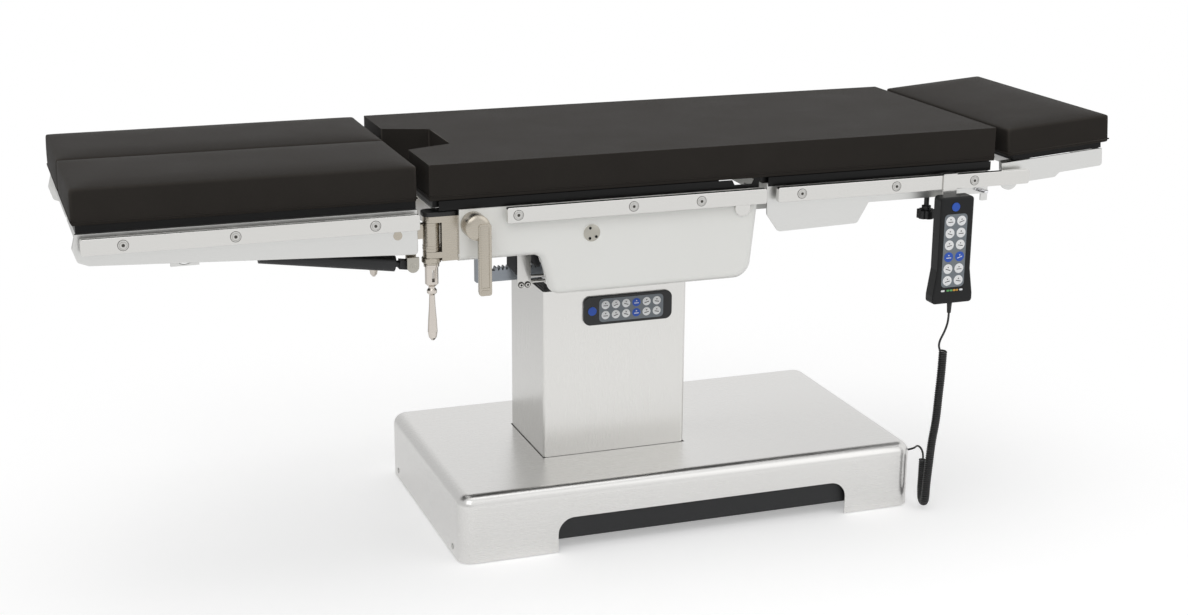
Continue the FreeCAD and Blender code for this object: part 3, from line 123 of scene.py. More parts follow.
@dataclass(frozen=True)
class Finish:
    """A surface finish: its shader's plain values, and a pattern that a subclass draws."""

    name: str
    colour: str
    roughness: float
    metallic: float = 0.0
    ior: float = 1.5
    specular: float = 0.5
    coat: float = 0.0
    coat_roughness: float = 0.1
    anisotropy: float = 0.0

    def build(self) -> bpy.types.Material:
        """Make the material, once for each name.

        Returns:
            The material.
        """
        known = bpy.data.materials.get(self.name)
        if known:
            return known
        material = bpy.data.materials.new(self.name)
        material.use_nodes = True
        tree = material.node_tree
        shader = tree.nodes["Principled BSDF"]
        values = {"Base Color": linear(self.colour), "Roughness": self.roughness,
                  "Metallic": self.metallic, "Specular IOR Level": self.specular,
                  "Coat Weight": self.coat, "Coat Roughness": self.coat_roughness,
                  "Anisotropic": self.anisotropy}
        if not self.metallic:
            values["IOR"] = self.ior
        for key, value in values.items():
            shader.inputs[key].default_value = value
        self.pattern(tree, shader)
        return material

    def pattern(self, tree: Tree, shader: Node) -> None:
        """Leave the surface plain. A subclass draws its pattern here.

        Args:
            tree: the node tree.
            shader: the principled shader.
        """

    def vary(self, tree: Tree, shader: Node, mask: Socket, spread: float, shade: float) -> None:
        """Let a grey mask move the roughness and the colour a little.

        Args:
            tree: the node tree.
            shader: the principled shader.
            mask: a value from 0 to 1.
            spread: how far the roughness moves each way.
            shade: how much darker the colour gets where the mask is 0.
        """
        rough = put(tree, "ShaderNodeMapRange", {"To Min": self.roughness - spread,
                    "To Max": self.roughness + spread}, {"Value": mask})
        tree.links.new(rough.outputs[0], shader.inputs["Roughness"])
        base = linear(self.colour)
        dark = (*(c * (1 - shade) for c in base[:3]), 1.0)
        mix = put(tree, "ShaderNodeMix", {"data_type": "RGBA", 6: dark, 7: base}, {0: mask})
        tree.links.new(mix.outputs[2], shader.inputs["Base Color"])

    def bump(self, tree: Tree, shader: Node, height: Socket, depth_mm: float,
             strength: float) -> None:
        """Raise a grey height as a bump.

        Args:
            tree: the node tree.
            shader: the principled shader.
            height: a value from 0 to 1.
            depth_mm: the relief's depth in millimetres.
            strength: how much of it the light sees.
        """
        made = put(tree, "ShaderNodeBump", {"Strength": strength, "Distance": depth_mm * MM},
                   {"Height": height})
        tree.links.new(made.outputs[0], shader.inputs["Normal"])


@dataclass(frozen=True)
class Upholstery(Finish):
    """PVC-coated knit over foam: embossed grain and a soft, slightly oily shine."""

    grain_mm: float = 2.6
    grain_share: float = 0.35
    creases_per_m: float = 9.0
    relief_mm: float = 0.9
    # Colour, strength, pointiness range and height band of the painted highlight on the upper edges
    highlight_colour: str = "#524e49"
    highlight_share: float = 0.7
    highlight_bend: Spot = (0.512, 0.58)
    highlight_band_m: Spot = (0.70, 0.73)

    def pattern(self, tree: Tree, shader: Node) -> None:
        """Draw slow creases and the grain, coarser than the real 1 mm so that it shows.

        Args:
            tree: the node tree.
            shader: the principled shader.
        """
        place = put(tree, "ShaderNodeTexCoord").outputs["Object"]
        grain = put(tree, "ShaderNodeTexVoronoi", {"feature": "DISTANCE_TO_EDGE",
                    "Scale": 1 / (self.grain_mm * MM)}, {"Vector": place})
        creases = put(tree, "ShaderNodeTexNoise", {"Scale": self.creases_per_m, "Detail": 4.0,
                      "Roughness": 0.55}, {"Vector": place})
        soft = put(tree, "ShaderNodeMapRange", {"From Max": 0.25, "To Max": self.grain_share},
                   {"Value": grain.outputs["Distance"]})
        relief = put(tree, "ShaderNodeMath", {"operation": "ADD"},
                     {0: soft.outputs[0], 1: creases.outputs["Fac"]})
        self.bump(tree, shader, relief.outputs[0], self.relief_mm, 0.35)
        # Up to a quarter darker where the crease noise is low: partly tone that varies, partly
        # painted shade in the creases' hollows
        self.vary(tree, shader, creases.outputs["Fac"], 0.07, 0.25)
        # Painted highlight along the pads' upper edges
        self.paint_edge_highlight(tree, shader, place)

    def paint_edge_highlight(self, tree: Tree, shader: Node, place: Socket) -> None:
        """Lighten the folds of the upper edges with a painted highlight, where the lamps catch
        their rounding.

        Args:
            tree: the node tree.
            shader: the principled shader, with its colour linked.
            place: the object's own coordinates.
        """
        # Painted highlight: pointiness picks the rounded edges and the height band keeps it to the
        # upper ones
        bend = put(tree, "ShaderNodeNewGeometry").outputs["Pointiness"]
        start, full = self.highlight_bend
        highlight_edges = put(tree, "ShaderNodeMapRange", {"From Min": start, "From Max": full,
                   "To Max": self.highlight_share}, {"Value": bend})
        height = put(tree, "ShaderNodeSeparateXYZ", None, {0: place})
        low, high = self.highlight_band_m
        upper = put(tree, "ShaderNodeMapRange", {"From Min": low, "From Max": high},
                    {"Value": height.outputs["Z"]})
        painted_highlight = put(tree, "ShaderNodeMath", {"operation": "MULTIPLY"},
                     {0: highlight_edges.outputs[0], 1: upper.outputs[0]})
        base = shader.inputs["Base Color"].links[0].from_socket
        edge = put(tree, "ShaderNodeMix", {"data_type": "RGBA", 7: linear(self.highlight_colour)},
                   {0: painted_highlight.outputs[0], 6: base})
        tree.links.new(edge.outputs[2], shader.inputs["Base Color"])


@dataclass(frozen=True)
class BrushedSheet(Finish):
    """Cold-rolled stainless sheet brushed with an abrasive belt along one direction."""

    along: Point = (1.0, 60.0, 60.0)
    line_mm: float = 1.1
    line_depth_mm: float = 0.05
    streak: float = 0.06
    smudges_per_m: float = 4.0
    smudge_share: float = 0.3

    def pattern(self, tree: Tree, shader: Node) -> None:
        """Draw belt scratches, 1 mm wide so that they show, and faint hand smudges.

        Args:
            tree: the node tree.
            shader: the principled shader.
        """
        place = put(tree, "ShaderNodeTexCoord").outputs["Object"]
        stretched = put(tree, "ShaderNodeMapping", {"Scale": self.along}, {"Vector": place})
        lines = put(tree, "ShaderNodeTexNoise", {
            "Scale": 1 / (self.line_mm * MM * max(self.along)), "Detail": 5.0,
            "Roughness": 0.7}, {"Vector": stretched.outputs[0]})
        smudge = put(tree, "ShaderNodeTexNoise", {"Scale": self.smudges_per_m, "Detail": 2.0},
                     {"Vector": place})
        mask = put(tree, "ShaderNodeMix", {0: self.smudge_share},
                   {2: lines.outputs["Fac"], 3: smudge.outputs["Fac"]})
        self.bump(tree, shader, lines.outputs["Fac"], self.line_depth_mm, 0.5)
        self.vary(tree, shader, mask.outputs[0], self.streak * 1.3, self.streak)


@dataclass(frozen=True)
class Speckled(Finish):
    """A coat with a fine orange-peel or spark-eroded grain, such as powder coat or moulded ABS."""

    grain_mm: float = 1.4
    grains_per_cell: float = 2.0
    depth_mm: float = 0.08
    tones_per_m: float = 6.0
    spread: float = 0.05
    shade: float = 0.06

    def pattern(self, tree: Tree, shader: Node) -> None:
        """Draw the grain, a few times its real size so that it shows, and a slow change of tone.

        Args:
            tree: the node tree.
            shader: the principled shader.
        """
        place = put(tree, "ShaderNodeTexCoord").outputs["Object"]
        grain = put(tree, "ShaderNodeTexNoise", {
            "Scale": 1 / (self.grain_mm * MM * self.grains_per_cell), "Detail": 3.0},
            {"Vector": place})
        slow = put(tree, "ShaderNodeTexNoise", {"Scale": self.tones_per_m, "Detail": 2.0},
                   {"Vector": place})
        self.bump(tree, shader, grain.outputs["Fac"], self.depth_mm, 0.5)
        self.vary(tree, shader, slow.outputs["Fac"], self.spread, self.shade)


@dataclass(frozen=True)
class Machined(Finish):
    """Turned, ground or plated metal: fine tool marks across the height and a worn tone."""

    mark_mm: float = 0.8
    mark_depth_mm: float = 0.003
    bands: Point = (4.0, 4.0, 120.0)

    def pattern(self, tree: Tree, shader: Node) -> None:
        """Draw tool marks as thin bands, a few times as wide as real ones so that they show.

        Args:
            tree: the node tree.
            shader: the principled shader.
        """
        place = put(tree, "ShaderNodeTexCoord").outputs["Object"]
        bands = put(tree, "ShaderNodeMapping", {"Scale": self.bands}, {"Vector": place})
        marks = put(tree, "ShaderNodeTexNoise", {
            "Scale": 1 / (self.mark_mm * MM * max(self.bands)), "Detail": 4.0},
            {"Vector": bands.outputs[0]})
        self.bump(tree, shader, marks.outputs["Fac"], self.mark_depth_mm, 0.2)
        self.vary(tree, shader, marks.outputs["Fac"], 0.05, 0.015)


class Look(Enum):
    """The finishes of this table, each with the record's slot that it belongs to."""

    # Black PVC upholstery: near-black with a broad satin highlight
    VINYL = (Upholstery("black_pvc_upholstery", "#363330", 0.48, specular=0.02), "vinyl")
    # Compact phenolic laminate: black, edges cut clean, a dull sheen
    LAMINATE = (Speckled("black_phenolic_laminate", "#0e0e0e", 0.36, specular=0.2), "laminate")
    # Belt-brushed stainless sheet along the length: pale, streaked reflections
    STAINLESS = (BrushedSheet("brushed_stainless_sheet", "#e0dfdd", 0.28, 1.0,
                              anisotropy=0.35), "stainless")
    # Stainless column sleeve brushed upright
    UPRIGHT = (BrushedSheet("upright_brushed_stainless", "#dfdedb", 0.28, 1.0, anisotropy=0.35,
                            along=(60.0, 60.0, 1.0), streak=0.025), "stainless")
    # Ground stainless bar of the accessory rails
    RAIL = (BrushedSheet("ground_stainless_bar", "#dad9d6", 0.16, 1.0), "rail_steel")
    # Satin aluminium plate of the section frames
    PLATE = (BrushedSheet("satin_aluminium_plate", "#dddddb", 0.36, 1.0), "frame_paint")
    # White gloss enamel over steel: bright, with a sharp clear reflection
    ENAMEL = (Speckled("white_gloss_enamel", "#fafaf6", 0.18, coat=0.6, grain_mm=3.0,
                       depth_mm=0.03, spread=0.02, shade=0.02), "panel_white")
    # Black powder coat on the chassis, the rams and the guide's struts
    POWDER = (Speckled("black_powder_coat", "#17181a", 0.5), "black_paint")
    # Vulcanised black rubber
    RUBBER = (Speckled("black_rubber", "#151515", 0.7, grain_mm=1.0), "rubber")
    # Hard chrome on ground rod
    CHROME = (Machined("hard_chrome", "#e4e4e6", 0.08, 1.0), "chrome")
    # Zinc-plated steel of screws and guide plates, duller than the rail
    SCREW = (Machined("zinc_plated_screw", "#cfcecb", 0.3, 1.0), "chrome")
    # Shadow line round a countersunk head, and the depth of its socket
    SOCKET = (Machined("socket_shadow", "#55534f", 0.5, 1.0), "chrome")
    # Bead-blasted nickel of the side panels' discs and the gas springs' forks
    BLASTED = (Machined("blasted_nickel", "#b3b0a7", 0.38, 1.0), "bright_steel")
    # Nickel-plated steel of levers and joints: warm and half polished
    NICKEL = (Machined("satin_nickel", "#b9b2a6", 0.27, 1.0), "bright_steel")
    # Polished nickel of the hand grips
    GRIP = (Machined("polished_nickel_grip", "#d1cac2", 0.18, 1.0), "bright_steel")
    # Oiled gear steel of the rack
    GEAR = (Machined("oiled_gear_steel", "#8b9096", 0.34, 1.0), "bright_steel")
    # Grey paint on castings, slightly hammered
    CAST = (Speckled("painted_casting", "#3c4043", 0.45, grain_mm=2.4, depth_mm=0.2), "cast")
    # Black glass-filled nylon of knobs and caps
    NYLON = (Speckled("black_nylon", "#141414", 0.46), "knob_black")
    # Moulded black ABS of the hand control
    ABS = (Speckled("moulded_black_abs", "#111213", 0.42, specular=0.3), "handset_shell")
    # Dark printed polyester overlay of the keypads
    OVERLAY = (Speckled("dark_polyester_overlay", "#0f1114", 0.28, grain_mm=0.8,
                        depth_mm=0.02), "keypad_film")
    # Grey field printed on the overlay
    FIELD = (Speckled("grey_overlay_field", "#7b8288", 0.4), "keypad_film")
    # White printed keys, embossed in the overlay
    KEY_WHITE = (Speckled("white_key_print", "#fbfcfd", 0.3), "keypad_film")
    # Blue printed keys
    KEY_BLUE = (Speckled("blue_key_print", "#1f57c2", 0.3), "key_blue")
    # Dark marks printed on the keys
    MARK = (Speckled("dark_key_marks", "#15181d", 0.5), "keypad_film")
    # Polyurethane jacket of the curly cord
    JACKET = (Speckled("polyurethane_jacket", "#191919", 0.28, grain_mm=2.0), "cord_black")
    # Green and amber lamps of the hand control
    LAMP_GREEN = (Speckled("green_lamp", "#5fae62", 0.2), "keypad_film")
    LAMP_AMBER = (Speckled("amber_lamp", "#e0a63a", 0.2), "keypad_film")

    def material(self) -> bpy.types.Material:
        """Return the finish's material."""
        return self.value[0].build()

    @property
    def slot(self) -> str:
        """The record's material slot."""
        return self.value[1]


def placed(name: str, data: bpy.types.ID) -> bpy.types.Object:
    """Link a new object to the scene.

    Args:
        name: its name.
        data: the mesh, curve, lamp or camera that it shows.

    Returns:
        The object.
    """
    made = bpy.data.objects.new(name, data)
    bpy.context.scene.collection.objects.link(made)
    return made


def dress(mesh: bpy.types.Mesh, look: Look) -> None:
    """Give a mesh one finish."""
    mesh.materials.clear()
    mesh.materials.append(look.material())


def piece(name: str, look: Look, body: str, *forms: Form) -> None:
    """Make one piece of the forms, dress it and let it ride on a body.

    Args:
        name: the piece's name.
        look: its finish.
        body: the CAD body that carries it.
        forms: what it is made of, in metres.
    """
    made = placed(name, mesh_of(joined(forms), name))
    dress(made.data, look)
    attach(made, body)
    LOG.info("made %s", name)


def written(form: Form, name: str) -> bpy.types.Mesh:
    """Write a form to a new mesh.

    Args:
        form: the form, which is used up.
        name: the mesh's name.

    Returns:
        The mesh.
    """
    mesh = bpy.data.meshes.new(name)
    form.to_mesh(mesh)
    form.free()
    return mesh


def mesh_of(form: Form, name: str) -> bpy.types.Mesh:
    """Turn a form into a mesh, smooth except over sharp edges.

    Args:
        form: the form, which is used up.
        name: the mesh's name.

    Returns:
        The mesh.
    """
    bmesh.ops.remove_doubles(form, verts=form.verts, dist=TINY)
    bmesh.ops.recalc_face_normals(form, faces=form.faces)
    for face in form.faces:
        face.smooth = True
    for edge in form.edges:
        edge.smooth = len(edge.link_faces) == 2 and edge.calc_face_angle(0.0) < SMOOTH_BELOW
    return written(form, name)


def joined(forms: Iterable[Form]) -> Form:
    """Put several forms into one.

    Args:
        forms: the forms, which are used up.

    Returns:
        The whole.
    """
    whole = bmesh.new()
    for form in forms:
        spare = written(form, "spare")
        whole.from_mesh(spare)
        bpy.data.meshes.remove(spare)
    return whole


def skin(form: Form, rings: Sequence[Sequence[bmesh.types.BMVert]]) -> None:
    """Lay faces from each ring to the next, and from the last to the first.

    Args:
        form: the form that holds the rings.
        rings: rings of as many points each.
    """
    for low, high in zip(rings, [*rings[1:], rings[0]]):
        for k, point in enumerate(low):
            after = (k + 1) % len(low)
            form.faces.new((point, low[after], high[after], high[k]))


def turned(profile: Sequence[Spot], centre: Point, axis: Point, segments: int) -> Form:
    """Revolve a profile of (distance along the axis, radius), in millimetres.

    Args:
        profile: the points from one end to the other, or round a ring and back to the first.
        centre: the axis' start, in millimetres.
        axis: its direction.
        segments: faces round it.

    Returns:
        The closed form, in metres.
    """
    form = bmesh.new()
    direction = Vector(axis).normalized()
    turn = Vector((0, 0, 1)).rotation_difference(direction).to_matrix()
    start = Vector(centre)
    rings = []
    for along, radius in profile:
        if radius < TINY:
            rings.append([form.verts.new((start + turn @ Vector((0, 0, along))) * MM)])
            continue
        ring = []
        for i in range(segments):
            angle = 2 * math.pi * i / segments
            spot = Vector((radius * math.cos(angle), radius * math.sin(angle), along))
            ring.append(form.verts.new((start + turn @ spot) * MM))
        rings.append(ring)
    for low, high in zip(rings, rings[1:]):
        for i in range(segments):
            k = (i + 1) % segments
            corners = [low[i % len(low)], low[k % len(low)], high[k % len(high)],
                       high[i % len(high)]]
            unique = list(dict.fromkeys(corners))
            if len(unique) > 2:
                form.faces.new(unique)
    if profile[0] != profile[-1]:
        for ring in (rings[0], rings[-1]):
            if len(ring) > 1:
                form.faces.new(ring)
    return form


def extruded(outline: Sequence[Spot], plane: str, low: float, high: float,
             bevel: float = 0.0) -> Form:
    """Extrude an outline across a named plane, with softened edges.

    Args:
        outline: corners in millimetres.
        plane: two of the letters x, y and z, in the outline's order.
        low: the near end along the third axis.
        high: the far end.
        bevel: the edge radius.

    Returns:
        The closed form, in metres.
    """
    form = bmesh.new()
    first, second = "xyz".index(plane[0]), "xyz".index(plane[1])
    third = 3 - first - second
    corners = []
    for spot in outline:
        place = [0.0, 0.0, 0.0]
        place[first], place[second], place[third] = spot[0], spot[1], low
        corners.append(form.verts.new(Vector(place) * MM))
    base = form.faces.new(corners)
    grown = bmesh.ops.extrude_face_region(form, geom=[base])
    moved = [v for v in grown["geom"] if isinstance(v, bmesh.types.BMVert)]
    shift = [0.0, 0.0, 0.0]
    shift[third] = (high - low) * MM
    bmesh.ops.translate(form, verts=moved, vec=shift)
    if bevel:
        bmesh.ops.bevel(form, geom=list(form.edges), offset=bevel * MM, segments=3,
                        profile=0.5, affect="EDGES", clamp_overlap=True)
    return form


def rounded(box: Box, radius: float, steps: int = 6) -> list[Spot]:
    """Draw a rectangle with round corners.

    Args:
        box: its left, right, low and high edges.
        radius: the corners' radius.
        steps: straight parts of each corner.

    Returns:
        The outline's points.
    """
    left, right, low, high = box
    spots = []
    for cx, cy, start in ((right - radius, high - radius, 0), (left + radius, high - radius, 90),
                          (left + radius, low + radius, 180), (right - radius, low + radius, 270)):
        for i in range(steps + 1):
            angle = math.radians(start + 90 * i / steps)
            spots.append((cx + radius * math.cos(angle), cy + radius * math.sin(angle)))
    return spots


def slab(box: Box, radius: float, faces: Spot, bevel: float = 0.0, steps: int = 6,
         plane: str = "xz") -> Form:
    """Make a plate with round corners.

    Args:
        box: its left, right, low and high edges, in millimetres.
        radius: the corners' radius.
        faces: its two faces along the third axis.
        bevel: the edge radius.
        steps: straight parts of each corner.
        plane: the plane of the box.

    Returns:
        The closed form, in metres.
    """
    return extruded(rounded(box, radius, steps), plane, *faces, bevel)


def faces_at(side: int, inner: float, outer: float) -> Spot:
    """Return a plate's two faces on one side of the table, the lower value first."""
    low, high = sorted((side * inner, side * outer))
    return low, high


@dataclass
class FoamPad:
    """A moulded foam pad in welded upholstery, crowned by air pressure in a cloth simulation."""

    name: str
    outline: list[Spot]
    low: float = 691.0
    high: float = 755.0
    shrink: float = 1.5
    crown: float = 6.0
    side_crown: float = 2.6
    cell: float = 17.0
    edge_round: float = 4.0
    edge_angle: float = 0.2
    sharpest: float = 0.3
    seam_rise: float = 7.0
    seam_radius: float = 1.3
    seam_faces: int = 8
    seam_hold: float = 0.85
    pressure: float = 4.0
    frames: int = 20

    def steps(self, keys: Iterable[float]) -> list[float]:
        """Space cuts between key positions, about a cell apart.

        Args:
            keys: the positions of the outline's corners along one axis.

        Returns:
            The cutting positions.
        """
        marks = sorted({round(key, 3) for key in keys})
        cuts: list[float] = []
        for start, end in zip(marks, marks[1:]):
            count = max(1, round((end - start) / self.cell))
            cuts += [start + (end - start) * k / count for k in range(count)]
        return cuts[1:]

    def start_form(self) -> tuple[bpy.types.Object, list[int]]:
        """Make the closed form that the simulation starts from.

        Returns:
            The pad's object, and the points on its rounded edges.
        """
        spots = self.inset()
        form = extruded(spots, "xy", self.low, self.high)
        quarters = [self.low + (self.high - self.low) * k / 4 for k in (1, 2, 3)]
        for axis, cuts in enumerate((self.steps(x for x, _ in spots),
                                     self.steps(y for _, y in spots), quarters)):
            across = Vector([float(k == axis) for k in range(3)])
            for cut in cuts:
                bmesh.ops.bisect_plane(form, geom=[*form.verts, *form.edges, *form.faces],
                                       plane_co=across * cut * MM, plane_no=across)
        sharp = [e for e in form.edges if e.calc_face_angle(0.0) > self.edge_angle]
        made = bmesh.ops.bevel(form, geom=sharp, offset=self.edge_round * MM, segments=2,
                               profile=0.5, affect="EDGES", clamp_overlap=True)
        form.verts.index_update()
        seam = [v.index for v in made["verts"] if v.is_valid]
        bmesh.ops.recalc_face_normals(form, faces=form.faces)
        return placed(self.name, written(form, self.name)), seam

    def inset(self) -> list[Spot]:
        """Move the outline inwards by the shrink.

        Returns:
            The smaller outline.
        """
        count, spots = len(self.outline), []
        for i in range(count):
            before, here, after = (Vector(self.outline[(i + k) % count]) for k in (-1, 0, 1))
            first, second = (here - before).normalized(), (after - here).normalized()
            normals = [Vector((-d.y, d.x)) for d in (first, second)]
            lean = (normals[0] + normals[1]).normalized()
            reach = self.shrink / max(lean.dot(normals[0]), self.sharpest)
            spots.append(tuple(here + lean * reach))
        return spots

    def build(self) -> bpy.types.Object:
        """Make the pad: form, air, subdivision and the welded seam.

        Returns:
            Its object, which rides on nothing yet.
        """
        pad, seam = self.start_form()
        self.inflate(pad, set(seam))
        finer = pad.modifiers.new("finer", "SUBSURF")
        finer.levels = finer.render_levels = 1
        rough = pad.data
        pad.data = bpy.data.meshes.new_from_object(self.evaluated(pad))
        pad.modifiers.clear()
        bpy.data.meshes.remove(rough)
        self.weld_seam(pad.data)
        pad.data.shade_smooth()
        dress(pad.data, Look.VINYL)
        LOG.info("made %s", self.name)
        return pad

    @staticmethod
    def evaluated(pad: bpy.types.Object) -> bpy.types.Object:
        """Return the pad as its modifiers leave it."""
        return pad.evaluated_get(bpy.context.evaluated_depsgraph_get())

    def inflate(self, pad: bpy.types.Object, seam: set[int]) -> None:
        """Blow the cover up between its seams and keep a limited share of each point's move.

        Args:
            pad: the pad's object.
            seam: the points on its rounded edges, which are held back.
        """
        rest = [v.co.copy() for v in pad.data.vertices]
        floor = (self.low + 1) * MM
        held = pad.vertex_groups.new(name="seam")
        held.add([i for i in seam if rest[i].z > floor], self.seam_hold, "REPLACE")
        held.add([i for i, spot in enumerate(rest) if spot.z <= floor], 1.0, "REPLACE")
        cover = pad.modifiers.new("air", "CLOTH")
        settings = cover.settings
        settings.vertex_group_mass = held.name
        settings.use_pressure = True
        settings.uniform_pressure_force = self.pressure
        settings.effector_weights.gravity = 0.0
        settings.quality = 4
        cover.collision_settings.use_collision = False
        for frame_number in range(1, self.frames + 1):
            bpy.context.scene.frame_set(frame_number)
        swollen = [v.co.copy() for v in self.evaluated(pad).data.vertices]
        pad.modifiers.remove(cover)
        bpy.context.scene.frame_set(1)
        side, rise = self.side_crown * MM, self.crown * MM
        for vertex, start, end in zip(pad.data.vertices, rest, swollen):
            move = end - start
            flat = Vector((move.x, move.y, 0.0))
            if flat.length > 1e-9:
                flat *= side * math.tanh(flat.length / side) / flat.length
            lift = 0.0 if start.z <= floor else rise * math.tanh(move.z / rise)
            vertex.co = start + flat + Vector((0.0, 0.0, lift))

    def weld_seam(self, mesh: bpy.types.Mesh) -> None:
        """Add the raised welded seam that runs round the pad over its lower edge.

        Args:
            mesh: the pad's mesh.
        """
        corners = self.inset()
        run: list[Vector] = []
        for here, there in zip(corners, corners[1:] + corners[:1]):
            start, end = Vector(here), Vector(there)
            count = max(1, round((end - start).length / self.cell))
            run += [start.lerp(end, k / count) for k in range(count)]
        form = bmesh.new()
        form.from_mesh(mesh)
        rings = []
        for i, spot in enumerate(run):
            way = (run[(i + 1) % len(run)] - run[i - 1]).normalized()
            out = Vector((way.y, -way.x, 0.0))
            place = Vector((spot.x, spot.y, self.low + self.seam_rise))
            ring = []
            for k in range(self.seam_faces):
                angle = math.tau * k / self.seam_faces
                reach = out * math.cos(angle) + Vector((0, 0, math.sin(angle)))
                ring.append(form.verts.new((place + reach * self.seam_radius) * MM))
            rings.append(ring)
        # Backwards, so that the faces look outwards
        skin(form, rings[::-1])
        form.to_mesh(mesh)
        form.free()


@dataclass
class Mattress:
    """The pads of the legs, of the seat and back in one length, and of the head."""

    width: float = 500.0
    hinge: float = 193.0
    bend_half: float = 73.0
    mouth_half: float = 103.0
    floor_half: float = 72.5
    cut_depth: float = 86.0
    head_near: float = -3.0
    head_length: float = 230.0
    head_levels: Spot = (45.5, 100.5)
    head_tilt: float = 4.1
    head_pivot: Point = (760.0, 0.0, 650.0)

    def build(self) -> None:
        """Make all pads, with the seat and back in one long pad."""
        left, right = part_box("seat_pad")[0].x / MM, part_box("back_pad")[1].x / MM
        half, deep = self.width / 2, left + self.cut_depth
        outline = [(left, -half), (right, -half), (right, half), (left, half),
                   (left, self.mouth_half), (deep, self.floor_half), (deep, -self.floor_half),
                   (left, -self.mouth_half)]
        pad = FoamPad("long_pad", outline).build()
        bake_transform(pad)
        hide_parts("seat_pad", "back_pad", "pad_bend")
        for side, _ in SIDES:
            low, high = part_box(f"leg_pad_{side}")
            x0, x1, y0, y1 = (v / MM for v in (low.x, high.x, low.y, high.y))
            leg = FoamPad(f"leg_cushion_{side}", [(x0, y0), (x1, y0), (x1, y1), (x0, y1)]).build()
            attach(leg, f"leg_{side}")
            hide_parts(f"leg_pad_{side}")
        self.head()

    def head(self) -> None:
        """Make the head pad flat and turn it to the head section's rest angle."""
        near, far, half = self.head_near, self.head_near + self.head_length, self.width / 2
        low, high = self.head_levels
        outline = [(near, -half), (far, -half), (far, half), (near, half)]
        pad = FoamPad("head_cushion", outline, low, high).build()
        turn = Matrix.Rotation(-math.radians(self.head_tilt), 4, "Y")
        pad.data.transform(Matrix.Translation(Vector(self.head_pivot) * MM) @ turn)
        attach(pad, "head")
        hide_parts("head_pad")


@dataclass
class Screws:
    """Countersunk screws with a ring groove and a socket, on rails and on the base."""

    radius: float = 8.6
    proud: float = 1.0
    rim: float = 0.9
    round_faces: int = 24
    rail_face: float = 272.0
    rail_level: float = 660.0
    rail_rows: dict[str, Point] = field(default_factory=lambda: {
        "seat": (-246.5, -29, 103), "back": (305, 502, 670), "leg": (-929, -744, -504)})
    base_spot: Spot = (207.0, 19.0)

    def head(self, spot: Point, axis: Point) -> Form:
        """Make one head with its ring groove and socket.

        Args:
            spot: where it stands on its seat, in millimetres.
            axis: the way it looks.

        Returns:
            The closed form.
        """
        r, p = self.radius, self.proud
        profile = [(-0.5, 0), (-0.5, r), (p * 0.6, r), (p, r * 0.94), (p, r * 0.8),
                   (p * 0.1, r * 0.76), (p * 0.1, r * 0.7), (p * 1.1, r * 0.66),
                   (p * 1.4, r * 0.34), (p * 0.1, r * 0.28), (p * 0.1, 0)]
        return turned(profile, spot, axis, self.round_faces)

    def row(self, name: str, spots: Sequence[Point], axis: Point, body: str) -> None:
        """Place a row of screws on a body.

        Args:
            name: the row's name.
            spots: where the heads stand, in millimetres.
            axis: the way they look.
            body: the CAD body that carries them.
        """
        piece(name, Look.SCREW, body, *(self.head(spot, axis) for spot in spots))
        r, p = self.radius, self.proud
        # Dark ring round each head and dark disc in its socket: painted shadow in the gap and
        # painted shade in the socket's depth
        rim = [(-0.4, r), (-0.4, r + self.rim), (p * 0.3, r + self.rim), (p * 0.3, r)]
        socket = [(p, 0), (p, r * 0.3), (p * 1.35, r * 0.3), (p * 1.35, 0)]
        marks = [turned([*rim, rim[0]], spot, axis, self.round_faces) for spot in spots]
        marks += [turned(socket, spot, axis, 6) for spot in spots]
        piece(f"{name}_sockets", Look.SOCKET, body, *marks)

    def build(self) -> None:
        """Place every visible screw of the table."""
        for name, side in SIDES:
            for stem, places in self.rail_rows.items():
                self.row(f"{stem}_rail_screws_{name}",
                         [(x, side * self.rail_face, self.rail_level) for x in places],
                         (0.0, float(side), 0.0), f"leg_{name}" if stem == "leg" else stem)
        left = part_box("base_cover")[0].x / MM
        y, z = self.base_spot
        Screws(radius=4.5, proud=1.2).row("base_end_screws", [(left, side * y, z)
                                          for _, side in SIDES], (-1.0, 0.0, 0.0), "base")


